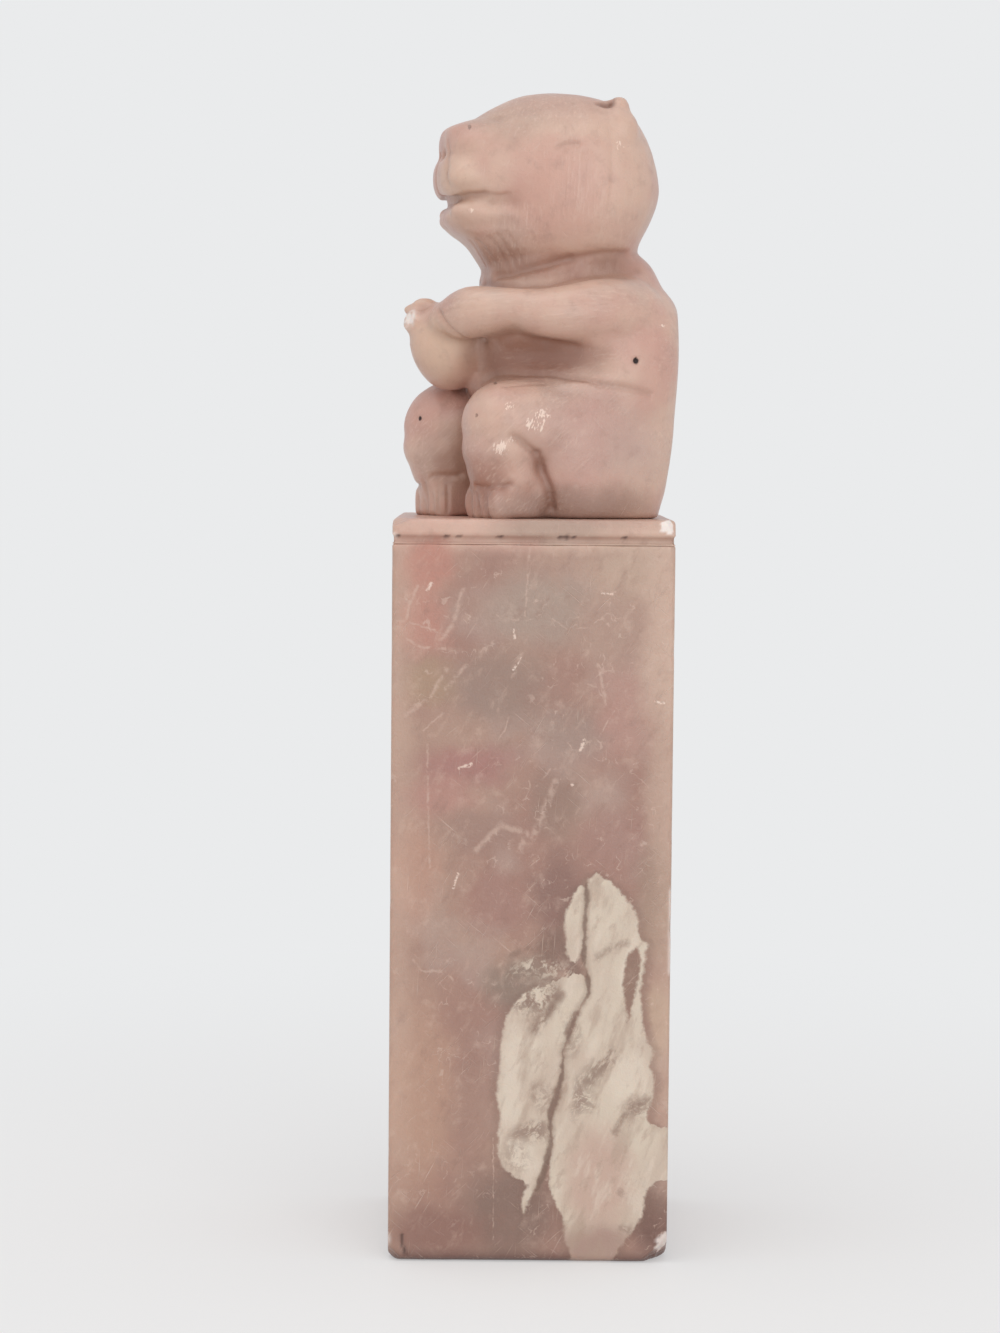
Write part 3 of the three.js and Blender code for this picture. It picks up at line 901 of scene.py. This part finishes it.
# %% [markdown]
# Underneath is the printing face. A maker cuts the characters there as a last step, so a bare face
# has only the raised border and the lowered ground with the flat chisel's marks. The grid is
# already fine enough, so the ground is pressed up into it.

# %% Printing face
BORDER, WALL = 1.25, 0.12
GROUND_DEPTH, CHISEL_DEPTH = 0.75, 0.05
under = block.place[:, 2] < 0.02
off_middle = np.maximum(abs(block.place[:, 0]), abs(block.place[:, 1]))
lowered = np.clip((BLOCK_HIGH[0] - BORDER - off_middle) / WALL, 0, 1) * under
cuts = [noise.noise(Vector((p[0] * 0.25, p[1] * 1.6, 4.0))) for p in block.place]
chisel = CHISEL_DEPTH * np.array(cuts)
block.place[:, 2] += lowered * (GROUND_DEPTH + chisel)
print("printing face lowered by", round(float((lowered * (GROUND_DEPTH + chisel)).max()), 2), "mm")

# %% [markdown]
# Stone breaks in flat flakes at its corners. A chip is everything beyond a plane near a corner,
# pressed back to that plane, with a little noise so that the break isn't a clean cut.

# %% Chips on the block
BLOCK_CHIPS = [
    # the corner, the way the break faces, and how rough it is
    ((10.0, -9.1, 0.9), (0.62, -0.62, -0.45), 0.5),
    ((8.9, -10.0, 0.9), (0.55, -0.45, -0.62), 0.5),
    ((-9.75, -9.75, 0.8), (-0.6, -0.55, -0.55), 0.4),
    ((9.86, -9.86, 50.6), (0.7, -0.7, 0.1), 0.3),
]


def chip(skin, corner, facing, rough, reach=3.0):
    """Breaks off what lies beyond a plane near a corner, leaving a slightly uneven face."""
    facing = np.array(Vector(facing).normalized())
    beyond = np.clip((skin.place - np.array(corner)) @ facing, 0, None)
    beyond[np.linalg.norm(skin.place - np.array(corner), axis=1) > reach] = 0
    uneven = np.array([noise.noise(Vector(p) * 2.5) for p in skin.place[beyond > 0]])
    beyond[beyond > 0] *= 1 + rough * uneven
    skin.place = skin.place - beyond[:, None] * facing


for corner, facing, rough in BLOCK_CHIPS:
    chip(block, corner, facing, rough)
block.measure()
print(len(BLOCK_CHIPS), "corners chipped")

# %% [markdown]
# Smaller wear is pressed in: nicks along the two front edges, and a crescent near the foot, left
# by some hard rim. A line is laid on the skin first, because its points are given only roughly.

# %% Nicks and marks on the block
EDGE_NICKS = [
    # across, up, reach and depth
    (9.9, 44.0, 0.5, 0.08),
    (-9.9, 26.2, 0.5, 0.12),
    (-9.95, 8.0, 0.4, 0.08),
    (9.95, 31.0, 0.4, 0.08),
    (9.9, 24.3, 0.6, 0.12),
]
CRESCENT = [(-9.0, -10, 1.9), (-8.95, -10, 1.2), (-8.7, -10, 0.5)]
RIGHT_EDGE_HIGHLIGHT = [(9.93, -9.93, 27.0), (9.93, -9.93, 21.0)]


def along(skin, points, width):
    """1 along a line laid on the skin, falling off over width."""
    marks = []
    for start, end in zip(points, points[1:]):
        steps = max(2, int(math.dist(start, end) / (0.4 * width)))
        for i in range(steps + 1):
            marks.append(skin.nearest(Vector(start).lerp(Vector(end), i / steps)))
    marks = np.array(marks)
    low, high = marks.min(0) - 3 * width, marks.max(0) + 3 * width
    close = np.all((skin.place > low) & (skin.place < high), axis=1)
    away = np.full(close.sum(), np.inf)
    for mark in marks:
        away = np.minimum(away, ((skin.place[close] - mark) ** 2).sum(1))
    depth = np.zeros(len(skin.place))
    depth[close] = np.exp(-away / width**2)
    return depth


for across, up, reach, depth in EDGE_NICKS:
    block.press(block.near((across, -9.95, up), (reach, reach, reach * 1.8)) * depth)
crescent = along(block, CRESCENT, 0.12)
block.press(crescent * 0.12)
fresh = 1.2 * block.near((9.75, -9.8, 1.2), (1.1, 1.1, 1.7)) - 0.35 + 0.4 * block.wavy(0.4, 3.0)
pale = np.clip(4 * fresh, 0, 0.8)
# A painted highlight along the block's right front edge.
pale = np.maximum(pale, 0.6 * along(block, RIGHT_EDGE_HIGHLIGHT, 0.12))
pale = np.maximum(pale, 0.6 * block.near((-10, -9.9, 1.6), (0.4, 0.6, 0.7)))
block.measure()
block.keep("dark", crescent * 0.8)
block.keep("pale", pale)
block.keep("shaded_hollow", np.zeros(len(block.place)))
finished(block.mesh, "seal_block")

# %% [markdown]
# The ledge is cut from the same bar, so it has the same footprint. The groove below it is a
# shallow band pressed in round its foot, whose noise keeps it from being a machined line. A cutter
# would need the band as a separate shape, and pressing needs only a height.

# %% Ledge
LEDGE_CHIPS = [
    # the corner, the way the break faces, and how rough it is
    ((-8.4, -10.0, 53.2), (-0.36, -0.28, 0.9), 0.3),
    ((9.85, -9.85, 52.4), (0.7, -0.7, 0.35), 0.4),
]
GROOVE_DEPTH = 0.2
# Above the ledge's foot, where the groove begins and ends, and over what height it does so.
BEGINS, BEGINS_OVER = 0.03, 0.12
ENDS, ENDS_OVER = 0.68, 0.22
TOP_RADIUS, FOOT_RADIUS = 0.34, 0.08
ledge = bar("stone_ledge", LEDGE_LOW, LEDGE_HIGH, (110, 110, 14))
height = ledge.place[:, 2] - LEDGE_LOW[2]
radius = np.where(height > 0.9, TOP_RADIUS + 0.08 * ledge.wavy(1.6, 5.0), FOOT_RADIUS)
round_edges(ledge, LEDGE_LOW, LEDGE_HIGH, radius)
for corner, facing, rough in LEDGE_CHIPS:
    chip(ledge, corner, facing, rough)
ledge.measure()
begun = np.clip((height - BEGINS) / BEGINS_OVER, 0, 1)
groove = begun * np.clip((ENDS - height) / ENDS_OVER, 0, 1)
ledge.press(GROOVE_DEPTH * groove * (1 + 0.3 * ledge.wavy(3.0, 2.0)))
ledge.measure()
print("groove", round(float(GROOVE_DEPTH * groove.max()), 2), "mm deep")

# %% [markdown]
# The ledge's right front corner is freshly broken and shows white, dirt sits in spots in the
# groove, and the groove is darkened by painted shade, most in a thin line. Each point of the mesh
# keeps how strong that is, and the finish turns it into colour, so no picture has to be painted.

# %% Ledge: broken corner, dirt and painted shade in the groove
# Spots of dirt in the groove: the place across and the size.
DIRT = [
    (-9.6, 0.22), (-6.2, 0.28), (-5.3, 0.2), (-2.4, 0.26), (1.9, 0.28), (2.3, 0.34), (2.8, 0.2),
    (6.4, 0.24),
]
DIRT_UP = 51.92
fresh = 1.3 * ledge.near((9.45, -10, 52.75), (0.9, 0.7, 0.85)) - 0.3 + 0.4 * ledge.wavy(0.3)
pale = np.clip(4 * fresh, 0, 1)
pale = np.maximum(pale, 0.6 * ledge.near((-9.9, -10, 52.0), (0.45, 0.6, 0.4)))
dark = np.zeros(len(ledge.place))
for across, size in DIRT:
    speck = ledge.near((across, -10, DIRT_UP), (size * 1.2, 0.6, size * 0.8))
    ledge.press(speck * 0.12)
    dark = np.maximum(dark, np.clip(1.4 * speck, 0, 0.85))
ledge.measure()
# Painted shade in the groove: a darker band, strongest in a thin line.
groove_shade = 0.35 * groove + 0.5 * np.exp(-(((height - 0.52) / 0.12) ** 2))
ledge.keep("dark", dark)
ledge.keep("pale", pale)
ledge.keep("shaded_hollow", groove_shade * np.clip(0.8 + 0.8 * ledge.wavy(2.5, 9.0), 0.2, 1))
finished(ledge.mesh, "ledge")

# %% [markdown]
# The animal. Its CAD solid has every main form, but each is a plain tube or barrel. Softer masses
# that the solid leaves out, such as lips and toes, are added as small balls.

# %% Animal: masses
MASSES = [
    # part, sides, middle, radii
    (HEAD, BOTH, (5.1, 3.1, 24.4), (2, 1.4, 1.3)),  # side of the muzzle
    (HEAD, BOTH, (4.4, 2.75, 21.95), (2.4, 1.4, 1)),  # lower lip
    (HEAD, BOTH, (4.6, 2.6, 26.8), (2, 1.6, 1.3)),  # side of the nose
    (HEAD, BOTH, (-5.3, 3.9, 29.4), (0.8, 0.8, 0.95)),  # ear
    (HEAD, BOTH, (-5, 5.1, 27.6), (0.45, 0.5, 1.6)),  # ridge below the ear
    (HIPS, NEAR, (3.6, -0.3, 9.6), (1.7, 2.2, 1.2)),  # stone left between the knees and the peach
    (HIPS, BOTH, (4.95, 4.4, 5), (2.95, 2.95, 2.6)),  # calf and shin
    (HIPS, BOTH, (4.5, 4.35, 3), (2.6, 2.7, 2.2)),
    (HIPS, BOTH, (2.6, 4.9, 2.2), (2.6, 2, 2.6)),
    (UPPER, NEAR, (8.7, -0.5, 14.1), (0.85, 0.75, 0.9)),  # tip of the peach
    (UPPER, NEAR, (8.5, -1.5, 15), (0.95, 0.6, 0.5)),  # fingers of the far hand over its top
    (UPPER, NEAR, (8, -0.9, 15.45), (0.9, 0.55, 0.45)),
]
TOES = (-1.75, -0.6, 0.6, 1.75)
TOE_LENGTHS = {1: 1.1, -1: 0.75}


def ball(mesh, part, at, radii, side=1):
    """Adds a ball to a mesh. at and radii are ahead, aside and up."""
    middle = Matrix.Translation((at[0], at[1] * side, at[2]))
    placed = Matrix.Scale(MM, 4) @ part @ middle @ Matrix.Diagonal((*radii, 1))
    bmesh.ops.create_icosphere(mesh, subdivisions=3, radius=1, matrix=placed)


lumps = bmesh.new()
lumps.from_mesh(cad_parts["animal"].data)
bmesh.ops.remove_doubles(lumps, verts=lumps.verts, dist=1e-6)
for part, sides, at, radii in MASSES:
    for side in sides:
        ball(lumps, part, at, radii, side)
for side, length in TOE_LENGTHS.items():
    for toe in TOES:
        ball(lumps, HIPS, (5.9, 4.3 + toe, 1.1), (length, 0.6, 1.6), side)
print("animal masses:", len(lumps.verts), "points")

# %% [markdown]
# A voxel remesh melts solid and balls into one skin, as the stone is. It leaves small steps, and
# smoothing takes them out and rounds the joins between the forms.

# %% Animal: one skin
VOXEL = 0.15
PASSES = 14


def modified(mesh, kind, settings):
    """A new mesh, made from a mesh by one modifier."""
    holder = bpy.data.objects.new("animal_draft", mesh)
    bpy.context.scene.collection.objects.link(holder)
    modifier = holder.modifiers.new(kind.lower(), kind)
    for name, value in settings.items():
        setattr(modifier, name, value)
    made = bpy.data.meshes.new_from_object(holder.evaluated_get(bpy.context.evaluated_depsgraph_get()))
    bpy.data.objects.remove(holder)
    return made


draft = bpy.data.meshes.new("animal_draft")
lumps.to_mesh(draft)
lumps.free()
animal = Skin(modified(draft, "REMESH", {"mode": "VOXEL", "voxel_size": VOXEL * MM}))
lowest = animal.place[:, 2].min()
animal.ease(PASSES)
animal.measure()
print("animal skin:", len(animal.place), "points")

# %% [markdown]
# Before the carving, some regions move as a whole, as clay would under a thumb: the back swells
# at the shoulders and draws in at the seat, and the stone under the forearms sinks. Two places
# where the solid's plain forms meet too sharply, and the band of neck, are rubbed smooth.

# %% Animal: the large moves
SHIFTS = [
    # middle and reach in the stamp's own axes, and the move
    ((9, 0.5, 65.2), (5, 11, 8.5), (0.62, 0, 0)),
    ((9, 0.5, 54.4), (5, 11, 6), (-0.95, 0, 0)),
    ((6.8, 0.5, 71), (3.5, 7, 2.4), (0.7, 0, 0.6)),
    ((-9, -0.5, 58.6), (3, 5, 4.5), (-0.35, 0, 0)),
    ((-8.8, -2, 66.5), (3, 5, 3.5), (-0.3, 0, 0)),
]
HOLLOWS = [
    # part, sides, middle, reach, depth
    (UPPER, BOTH, (1.2, 5.6, 11.6), (4.2, 3.4, 1.9), 0.6),
    (UPPER, BOTH, (3.9, 3.6, 11), (2, 2.4, 2.4), 0.5),
    (HEAD, BOTH, (1, 4.2, 18), (4.5, 3, 1.5), 0.3),
    (HEAD, BOTH, (-4.5, 4.6, 18.2), (4, 3, 2.2), 0.15),
]
# The middle of the band of neck between the jaw and the arm.
NECK = [
    (3, 2.4, 16.9), (2, 3.6, 17.1), (0.4, 4.4, 17.3), (-0.8, 4.7, 17.6), (-2, 5, 18),
    (-3.5, 5, 18.2), (-5.2, 4.6, 18.4),
]
NECK_WIDTH = 0.75
# Two more places to rub smooth: beside the peach, and under the elbow.
RUBBED = [((4.3, 3.2, 11.6), (2.8, 3, 3.2)), ((-3.2, 7.4, 11.9), (2.6, 2.2, 1.6))]
RUBS = 120


def line_on(part, points, side, width):
    """1 along a line of places on a part of the animal, falling off over width."""
    return along(animal, [on_part(part, at, side) for at in points], width)


for middle, reach, move in SHIFTS:
    animal.place = animal.place + animal.near(middle, reach)[:, None] * np.array(move)
animal.measure()
shade = np.zeros(len(animal.place))
for part, sides, at, reach, depth in HOLLOWS:
    for side in sides:
        weight = animal.near(on_part(part, at, side), reach)
        animal.press(weight * depth)
        # Each hollow also gets painted shade, strongest at its middle.
        shade = np.maximum(shade, weight)
animal.measure()
rubbed = np.zeros(len(animal.place))
for side in BOTH:
    rubbed = np.maximum(rubbed, line_on(HEAD, NECK, side, NECK_WIDTH))
    for at, reach in RUBBED:
        rubbed = np.maximum(rubbed, animal.near(on_part(UPPER, at, side), reach))
animal.ease(RUBS, 0.5, np.clip(1.5 * rubbed, 0, 1))
animal.measure()
print("deepest hollow", max(row[-1] for row in HOLLOWS), "mm")

# %% [markdown]
# Carving. Each mark is a line of points, ahead, aside and up on its part of the animal, with a
# width and a depth. The points are laid on the nearest skin first, so they needn't be exact, and
# a mark with two sides is cut on both. The last number tells how much painted shade goes in the mark.

# %% Animal: marks
MARKS = [
    # part, sides, width, depth, painted shade, points
    # mouth, and the crease at its corner
    (HEAD, BOTH, 0.26, 0.34, 0.9, [
        (6.8, 0, 23), (6.7, 1, 22.95), (6.5, 1.7, 22.95), (6, 2.6, 23), (5.5, 3.5, 23.1),
        (4.5, 4, 23.15),
    ]),
    (HEAD, BOTH, 0.24, 0.16, 0.5, [(4.5, 4, 23.15), (3.4, 4.3, 23.1), (2.9, 4.5, 23.1)]),
    (HEAD, BOTH, 0.24, 0.05, 0.2, [(2.9, 4.5, 23.1), (2.2, 4.9, 23.15)]),
    (HEAD, BOTH, 0.3, 0.04, 0.2, [(2.5, 4.6, 22.9), (2.3, 4.6, 22.1), (2.2, 4.7, 21.3)]),
    # nostrils, and the line from the nose to the mouth
    (HEAD, BOTH, 0.3, 0.3, 0.8, [(6.9, 0.75, 26), (6.85, 1.15, 26.15)]),
    (HEAD, NEAR, 0.2, 0.14, 0.4, [(7.1, 0, 25.3), (7.1, 0, 24.3), (6.9, 0, 23.4)]),
    # below the lower lip
    (HEAD, BOTH, 0.4, 0.08, 0.4, [
        (6.7, 0.2, 20.8), (6.3, 2.3, 20.8), (5.4, 3.5, 20.95), (4.1, 4.2, 21.15), (2.9, 4.5, 21.25),
        (2.3, 4.6, 21),
    ]),
    # where the muzzle's flat front meets its side
    (HEAD, BOTH, 0.18, 0.1, 0.45, [
        (6.8, 2.1, 26.8), (6.8, 2.3, 26), (6.95, 2.8, 24.8), (6.8, 2.9, 23.8),
    ]),
    # eye and brow
    (HEAD, BOTH, 0.16, 0.18, 0.6, [
        (-0.5, 5.6, 26.35), (-0.9, 5.75, 26.6), (-1.4, 5.85, 26.7), (-1.9, 5.9, 26.7),
    ]),
    (HEAD, BOTH, 0.4, 0.08, 0, [(-0.9, 5.6, 26.1), (-1.6, 5.9, 25.9), (-2.4, 6.1, 26.1)]),
    (HEAD, BOTH, 0.6, 0.1, 0, [(3.5, 3.1, 28.6), (2.2, 3.3, 29), (1.2, 3.7, 29.2)]),
    # the cup of the ear
    (HEAD, BOTH, 0.2, 0.14, 1, [(-3.7, 3.9, 29.6), (-4.2, 4.1, 29.6), (-4.7, 4.3, 29.5)]),
    # the line down the cheek
    (HEAD, BOTH, 0.14, 0.06, 0.1, [
        (-4.2, 5.6, 27.7), (-4.3, 6.1, 26.2), (-4.3, 6.4, 24), (-4.1, 6.3, 21.6),
    ]),
    # tool marks on the throat
    (HEAD, BOTH, 0.12, 0.1, 0.3, [(5.2, 2, 19.9), (4.5, 1.5, 19.1), (3.9, 1.3, 18.1)]),
    (HEAD, BOTH, 0.12, 0.1, 0.3, [(4.7, 2.7, 19.9), (4.1, 2.6, 19.2), (3.5, 2.5, 18.4)]),
    (HEAD, BOTH, 0.12, 0.1, 0.3, [(4.1, 3.5, 20.1), (3.3, 3.3, 19.2), (2.6, 3.1, 17.9)]),
    (HEAD, BOTH, 0.12, 0.1, 0.3, [(3.5, 3.9, 20.3), (2.7, 3.6, 19.2), (2, 3.4, 17.9)]),
    (HEAD, BOTH, 0.12, 0.08, 0.2, [(2.9, 4.2, 20.4), (2.2, 3.9, 19.5), (1.6, 3.5, 18.3)]),
    # under the jaw
    (HEAD, BOTH, 0.3, 0.32, 1, [
        (3, 2.4, 17.2), (2.2, 3.2, 17.3), (1.8, 3.4, 17.5), (0.4, 3.8, 17.9), (-0.7, 4.2, 18.3),
        (-1.7, 4.5, 18.6),
    ]),
    (HEAD, BOTH, 0.3, 0.16, 0.9, [
        (-1.7, 4.5, 18.6), (-2.7, 4.9, 18.8), (-3.8, 5, 19), (-4.9, 4.7, 19.1), (-5.8, 4.2, 19),
    ]),
    # over the arm
    (UPPER, BOTH, 0.3, 0.16, 1, [
        (4, 0.8, 16.9), (3.5, 3.2, 16.6), (2.3, 4.5, 16.6), (0.3, 5.2, 16.7), (-0.9, 5, 16.9),
        (-2, 5.1, 17.4),
    ]),
    (UPPER, BOTH, 0.3, 0.12, 0.7, [
        (-2, 5.1, 17.4), (-3.5, 5.1, 17.5), (-5, 5, 17.7), (-6.6, 4.5, 17.8),
    ]),
    # fingers, and the edge of the hand on the peach
    (UPPER, BOTH, 0.16, 0.06, 0.1, [(7.9, 4, 15.2), (6.9, 5.25, 15.5), (5.9, 5.9, 15.5)]),
    (UPPER, BOTH, 0.16, 0.07, 0.1, [(8, 3.9, 14.5), (7, 5.2, 14.8), (6, 5.9, 14.9)]),
    (UPPER, BOTH, 0.2, 0.22, 0.45, [
        (7.9, 3.4, 14.7), (7.5, 4.1, 13.9), (7, 4.3, 13.4), (6.4, 4.2, 13), (5.4, 3.4, 12.7),
        (4.3, 2.8, 12.7),
    ]),
    # under the forearm
    (UPPER, BOTH, 0.34, 0.14, 0.9, [
        (3.4, 4.7, 12.9), (2.5, 5.4, 13), (1.6, 5.5, 12.7), (0.8, 5.9, 12.5),
    ]),
    (UPPER, BOTH, 0.3, 0.12, 0.7, [(0.8, 5.9, 12.5), (-0.2, 6.5, 12.4), (-1.2, 6.9, 12.2)]),
    (UPPER, BOTH, 0.3, 0.06, 0.4, [(-1.2, 6.9, 12.2), (-2.2, 7.2, 12.1), (-3.3, 7.6, 11.8)]),
    # behind the calf
    (HIPS, BOTH, 0.24, 0.26, 0.6, [(5.6, 7.3, 5.8), (5, 7.2, 5.6), (4.5, 7.2, 5.2), (3.7, 7.1, 4.7)]),
    (HIPS, BOTH, 0.3, 0.3, 1, [
        (3.7, 7.1, 4.7), (3, 6.7, 4), (2.7, 6.7, 3.1), (2.4, 6.8, 2.3), (2.1, 6.7, 1.5),
        (2, 6.6, 0.8),
    ]),
    # over the thigh
    (HIPS, BOTH, 0.22, 0.22, 0.7, [
        (4.7, 0.9, 9.7), (4.4, 2.2, 10.1), (3.4, 4.2, 10.2), (1.9, 5.8, 10.2), (0.9, 6.9, 9.9),
        (-0.8, 8.2, 9.6),
    ]),
    (HIPS, BOTH, 0.22, 0.18, 0.5, [(-0.8, 8.2, 9.6), (-2.9, 8.9, 9.3), (-4.4, 9.2, 8.9)]),
    (HIPS, NEAR, 0.16, 0.1, 0.3, [(5.5, 5.8, 9.35), (4.4, 6, 9.45), (2.6, 6.3, 9.5)]),
    # over the foot, and between the toes
    (HIPS, BOTH, 0.2, 0.2, 0.6, [(6.9, 4.5, 2.3), (6.4, 6.1, 2.2), (5.4, 6.7, 2.4)]),
    (HIPS, BOTH, 0.2, 0.2, 0.5, [(7, 2.9, 2.8), (6.6, 2.2, 2.85), (5.8, 2, 2.9), (5.1, 1.8, 3)]),
    (HIPS, FAR, 0.16, 0.14, 0.5, [(7, 3.7, 2.5), (6.9, 3.8, 1.3), (6.8, 3.8, 0.2)]),
    (HIPS, FAR, 0.16, 0.14, 0.5, [(6.6, 2.7, 2.6), (6.6, 2.5, 1.4), (6.6, 2.5, 0.3)]),
    (HIPS, FAR, 0.16, 0.12, 0.5, [(6, 2.1, 2.6), (6, 2, 1.4), (6, 2, 0.3)]),
    (HIPS, NEAR, 0.14, 0.1, 0.3, [(6.9, 3.9, 1.8), (6.8, 3.8, 0.4)]),
    (HIPS, NEAR, 0.14, 0.1, 0.3, [(6.9, 5.1, 2), (6.8, 5.2, 0.5)]),
    (HIPS, NEAR, 0.14, 0.08, 0.2, [(6.6, 6, 2), (6.6, 6.2, 0.5)]),
]
# Upright tool marks round the neck, from the jaw to the arm.
for step in range(9):
    ahead = 1.6 - 0.85 * step
    stroke = [(ahead, 4.2, 18.2 + 0.09 * step), (ahead + 0.1, 4.8, 16.8 + 0.12 * step)]
    MARKS.append((HEAD, BOTH, 0.11, 0.06, 0.25, stroke))
for part, sides, width, depth, darkness, points in MARKS:
    for side in sides:
        cut = line_on(part, points, side, width)
        animal.press(cut * depth)
        shade = np.maximum(shade, cut * darkness)
animal.measure()
animal.ease(2, 0.3)
animal.measure()
print(len(MARKS), "marks cut")

# %% [markdown]
# The ears are hollowed with a small round gouge, the pits are pressed in, and the peach has lost
# the end of its tip, which shows white.

# %% Animal: ears, pits and the peach's tip
EAR = (-4.35, 4.0, 29.9)
EAR_CUP = (-4.2, 4.05, 29.7)
GOUGE_REACH, GOUGE_DEPTH = 0.75, 0.45
PIT_DEPTH = 0.3
TIP = on_part(UPPER, (9.3, -0.3, 14.3))
dark = np.zeros(len(animal.place))
for side in BOTH:
    gouged = animal.near(animal.nearest(on_part(HEAD, EAR, side)), GOUGE_REACH)
    animal.press(gouged * GOUGE_DEPTH)
    # Painted shade in the gouged ear, and darker painted shade in its cup.
    shade = np.maximum(shade, np.clip(1.6 * gouged, 0, 1))
    cup = animal.near(animal.nearest(on_part(HEAD, EAR_CUP, side)), (0.9, 0.9, 0.4))
    dark = np.maximum(dark, 0.5 * cup)
for part, at, reach, strength in ANIMAL_PITS:
    pit = animal.near(animal.nearest(on_part(part, at)), reach * 1.7)
    animal.press(pit * PIT_DEPTH * strength)
chip(animal, TIP, (-0.75, -0.6, 0.25), 0.3, 1.0)
pale = np.clip(1.7 * animal.near(TIP, 1.0) * (0.8 + 1.1 * animal.wavy(0.3)), 0, 0.95)
print("ears gouged,", len(ANIMAL_PITS), "pits pressed")

# %% [markdown]
# This is painted shade, laid where shade falls: in hollows and creases, under the figure's parts
# and near its foot. How deep a point lies below the skin smoothed many times tells where the
# hollows are: a little smoothing finds the fine creases, and a lot finds the wide hollows. Some
# regions get painted shade one by one as well, and all of it is stored for the finish.

# %% Animal: how much painted shade each point gets
SHADES = [
    # part, sides, middle, reach, strength
    (HEAD, BOTH, (0.5, 4.2, 17.4), (6, 3.5, 1.7), 0.5),
    (HEAD, BOTH, (-5, 4, 18), (5, 3.5, 1.6), 0.4),
    (HEAD, BOTH, (3.6, 3, 18.9), (3, 3, 2.4), 0.35),
    (UPPER, BOTH, (4.4, 2.6, 11.3), (3, 3, 3), 0.9),
    (UPPER, BOTH, (2.6, 4.8, 12.2), (2.6, 2.5, 1.6), 0.8),
    (UPPER, BOTH, (1.6, 5.6, 11.8), (5, 4.2, 2.1), 0.95),
    (HIPS, BOTH, (6, 1, 3.5), (4, 2.4, 4), 0.6),
    (HIPS, BOTH, (4.6, 0, 9.4), (2.6, 2.6, 1.8), 0.9),
]
# Passes of smoothing, and the depth in millimetres that is as dark as it gets.
CREASE_PASSES, CREASE_DEPTH = 25, 0.12
HOLLOW_PASSES, HOLLOW_DEPTH = 250, 0.7
FOOT_HEIGHT = 1.3


def depth_below(skin, times):
    """How deep each point lies below the skin smoothed that many times, in millimetres."""
    swept = skin.place.copy()
    for _ in range(times):
        swept = swept + (skin.neighbours(swept) - swept) * 0.8
    return ((swept - skin.place) * skin.normal).sum(1)


# Painted shade on the band of neck and on the listed regions.
for side in BOTH:
    shade = np.maximum(shade, 0.75 * line_on(HEAD, NECK, side, NECK_WIDTH))
for part, sides, at, reach, strength in SHADES:
    for side in sides:
        shade = np.maximum(shade, strength * animal.near(on_part(part, at, side), reach))
creases = np.clip(depth_below(animal, CREASE_PASSES) / CREASE_DEPTH, 0, 1)
hollows = np.clip(depth_below(animal, HOLLOW_PASSES) / HOLLOW_DEPTH, 0, 1)
# Painted shade near the foot, and on faces that look down.
foot = np.clip(1 - (animal.place[:, 2] - lowest) / FOOT_HEIGHT, 0, 1) ** 2
under = np.clip(-animal.normal[:, 2], 0, 1)
shade = np.maximum(shade * 0.85, creases * 0.55)
shade = np.maximum(shade, np.clip(hollows + 0.35 * under, 0, 1))
shade = np.maximum(shade, foot * 0.8)
for _ in range(3):
    shade = animal.neighbours(shade[:, None])[:, 0]
animal.place[:, 2] = np.maximum(animal.place[:, 2], lowest)
animal.measure()
animal.keep("shaded_hollow", shade)
animal.keep("dark", dark)
animal.keep("pale", pale)
print("mean shade", round(float(shade.mean()), 2))

# %% [markdown]
# Such a fine skin has more triangles than a library part should. Thinning takes them out where the
# stone is smooth, and leaves them where a mark needs them.

# %% Animal: thinned skin
TRIANGLES = 190000
before = 2 * len(animal.mesh.polygons)
thinned = modified(animal.mesh, "DECIMATE", {"ratio": TRIANGLES / before})
thinned.name = "carved_animal"
print(before, "triangles thinned to", sum(len(face.vertices) - 2 for face in thinned.polygons))
finished(thinned, "animal")
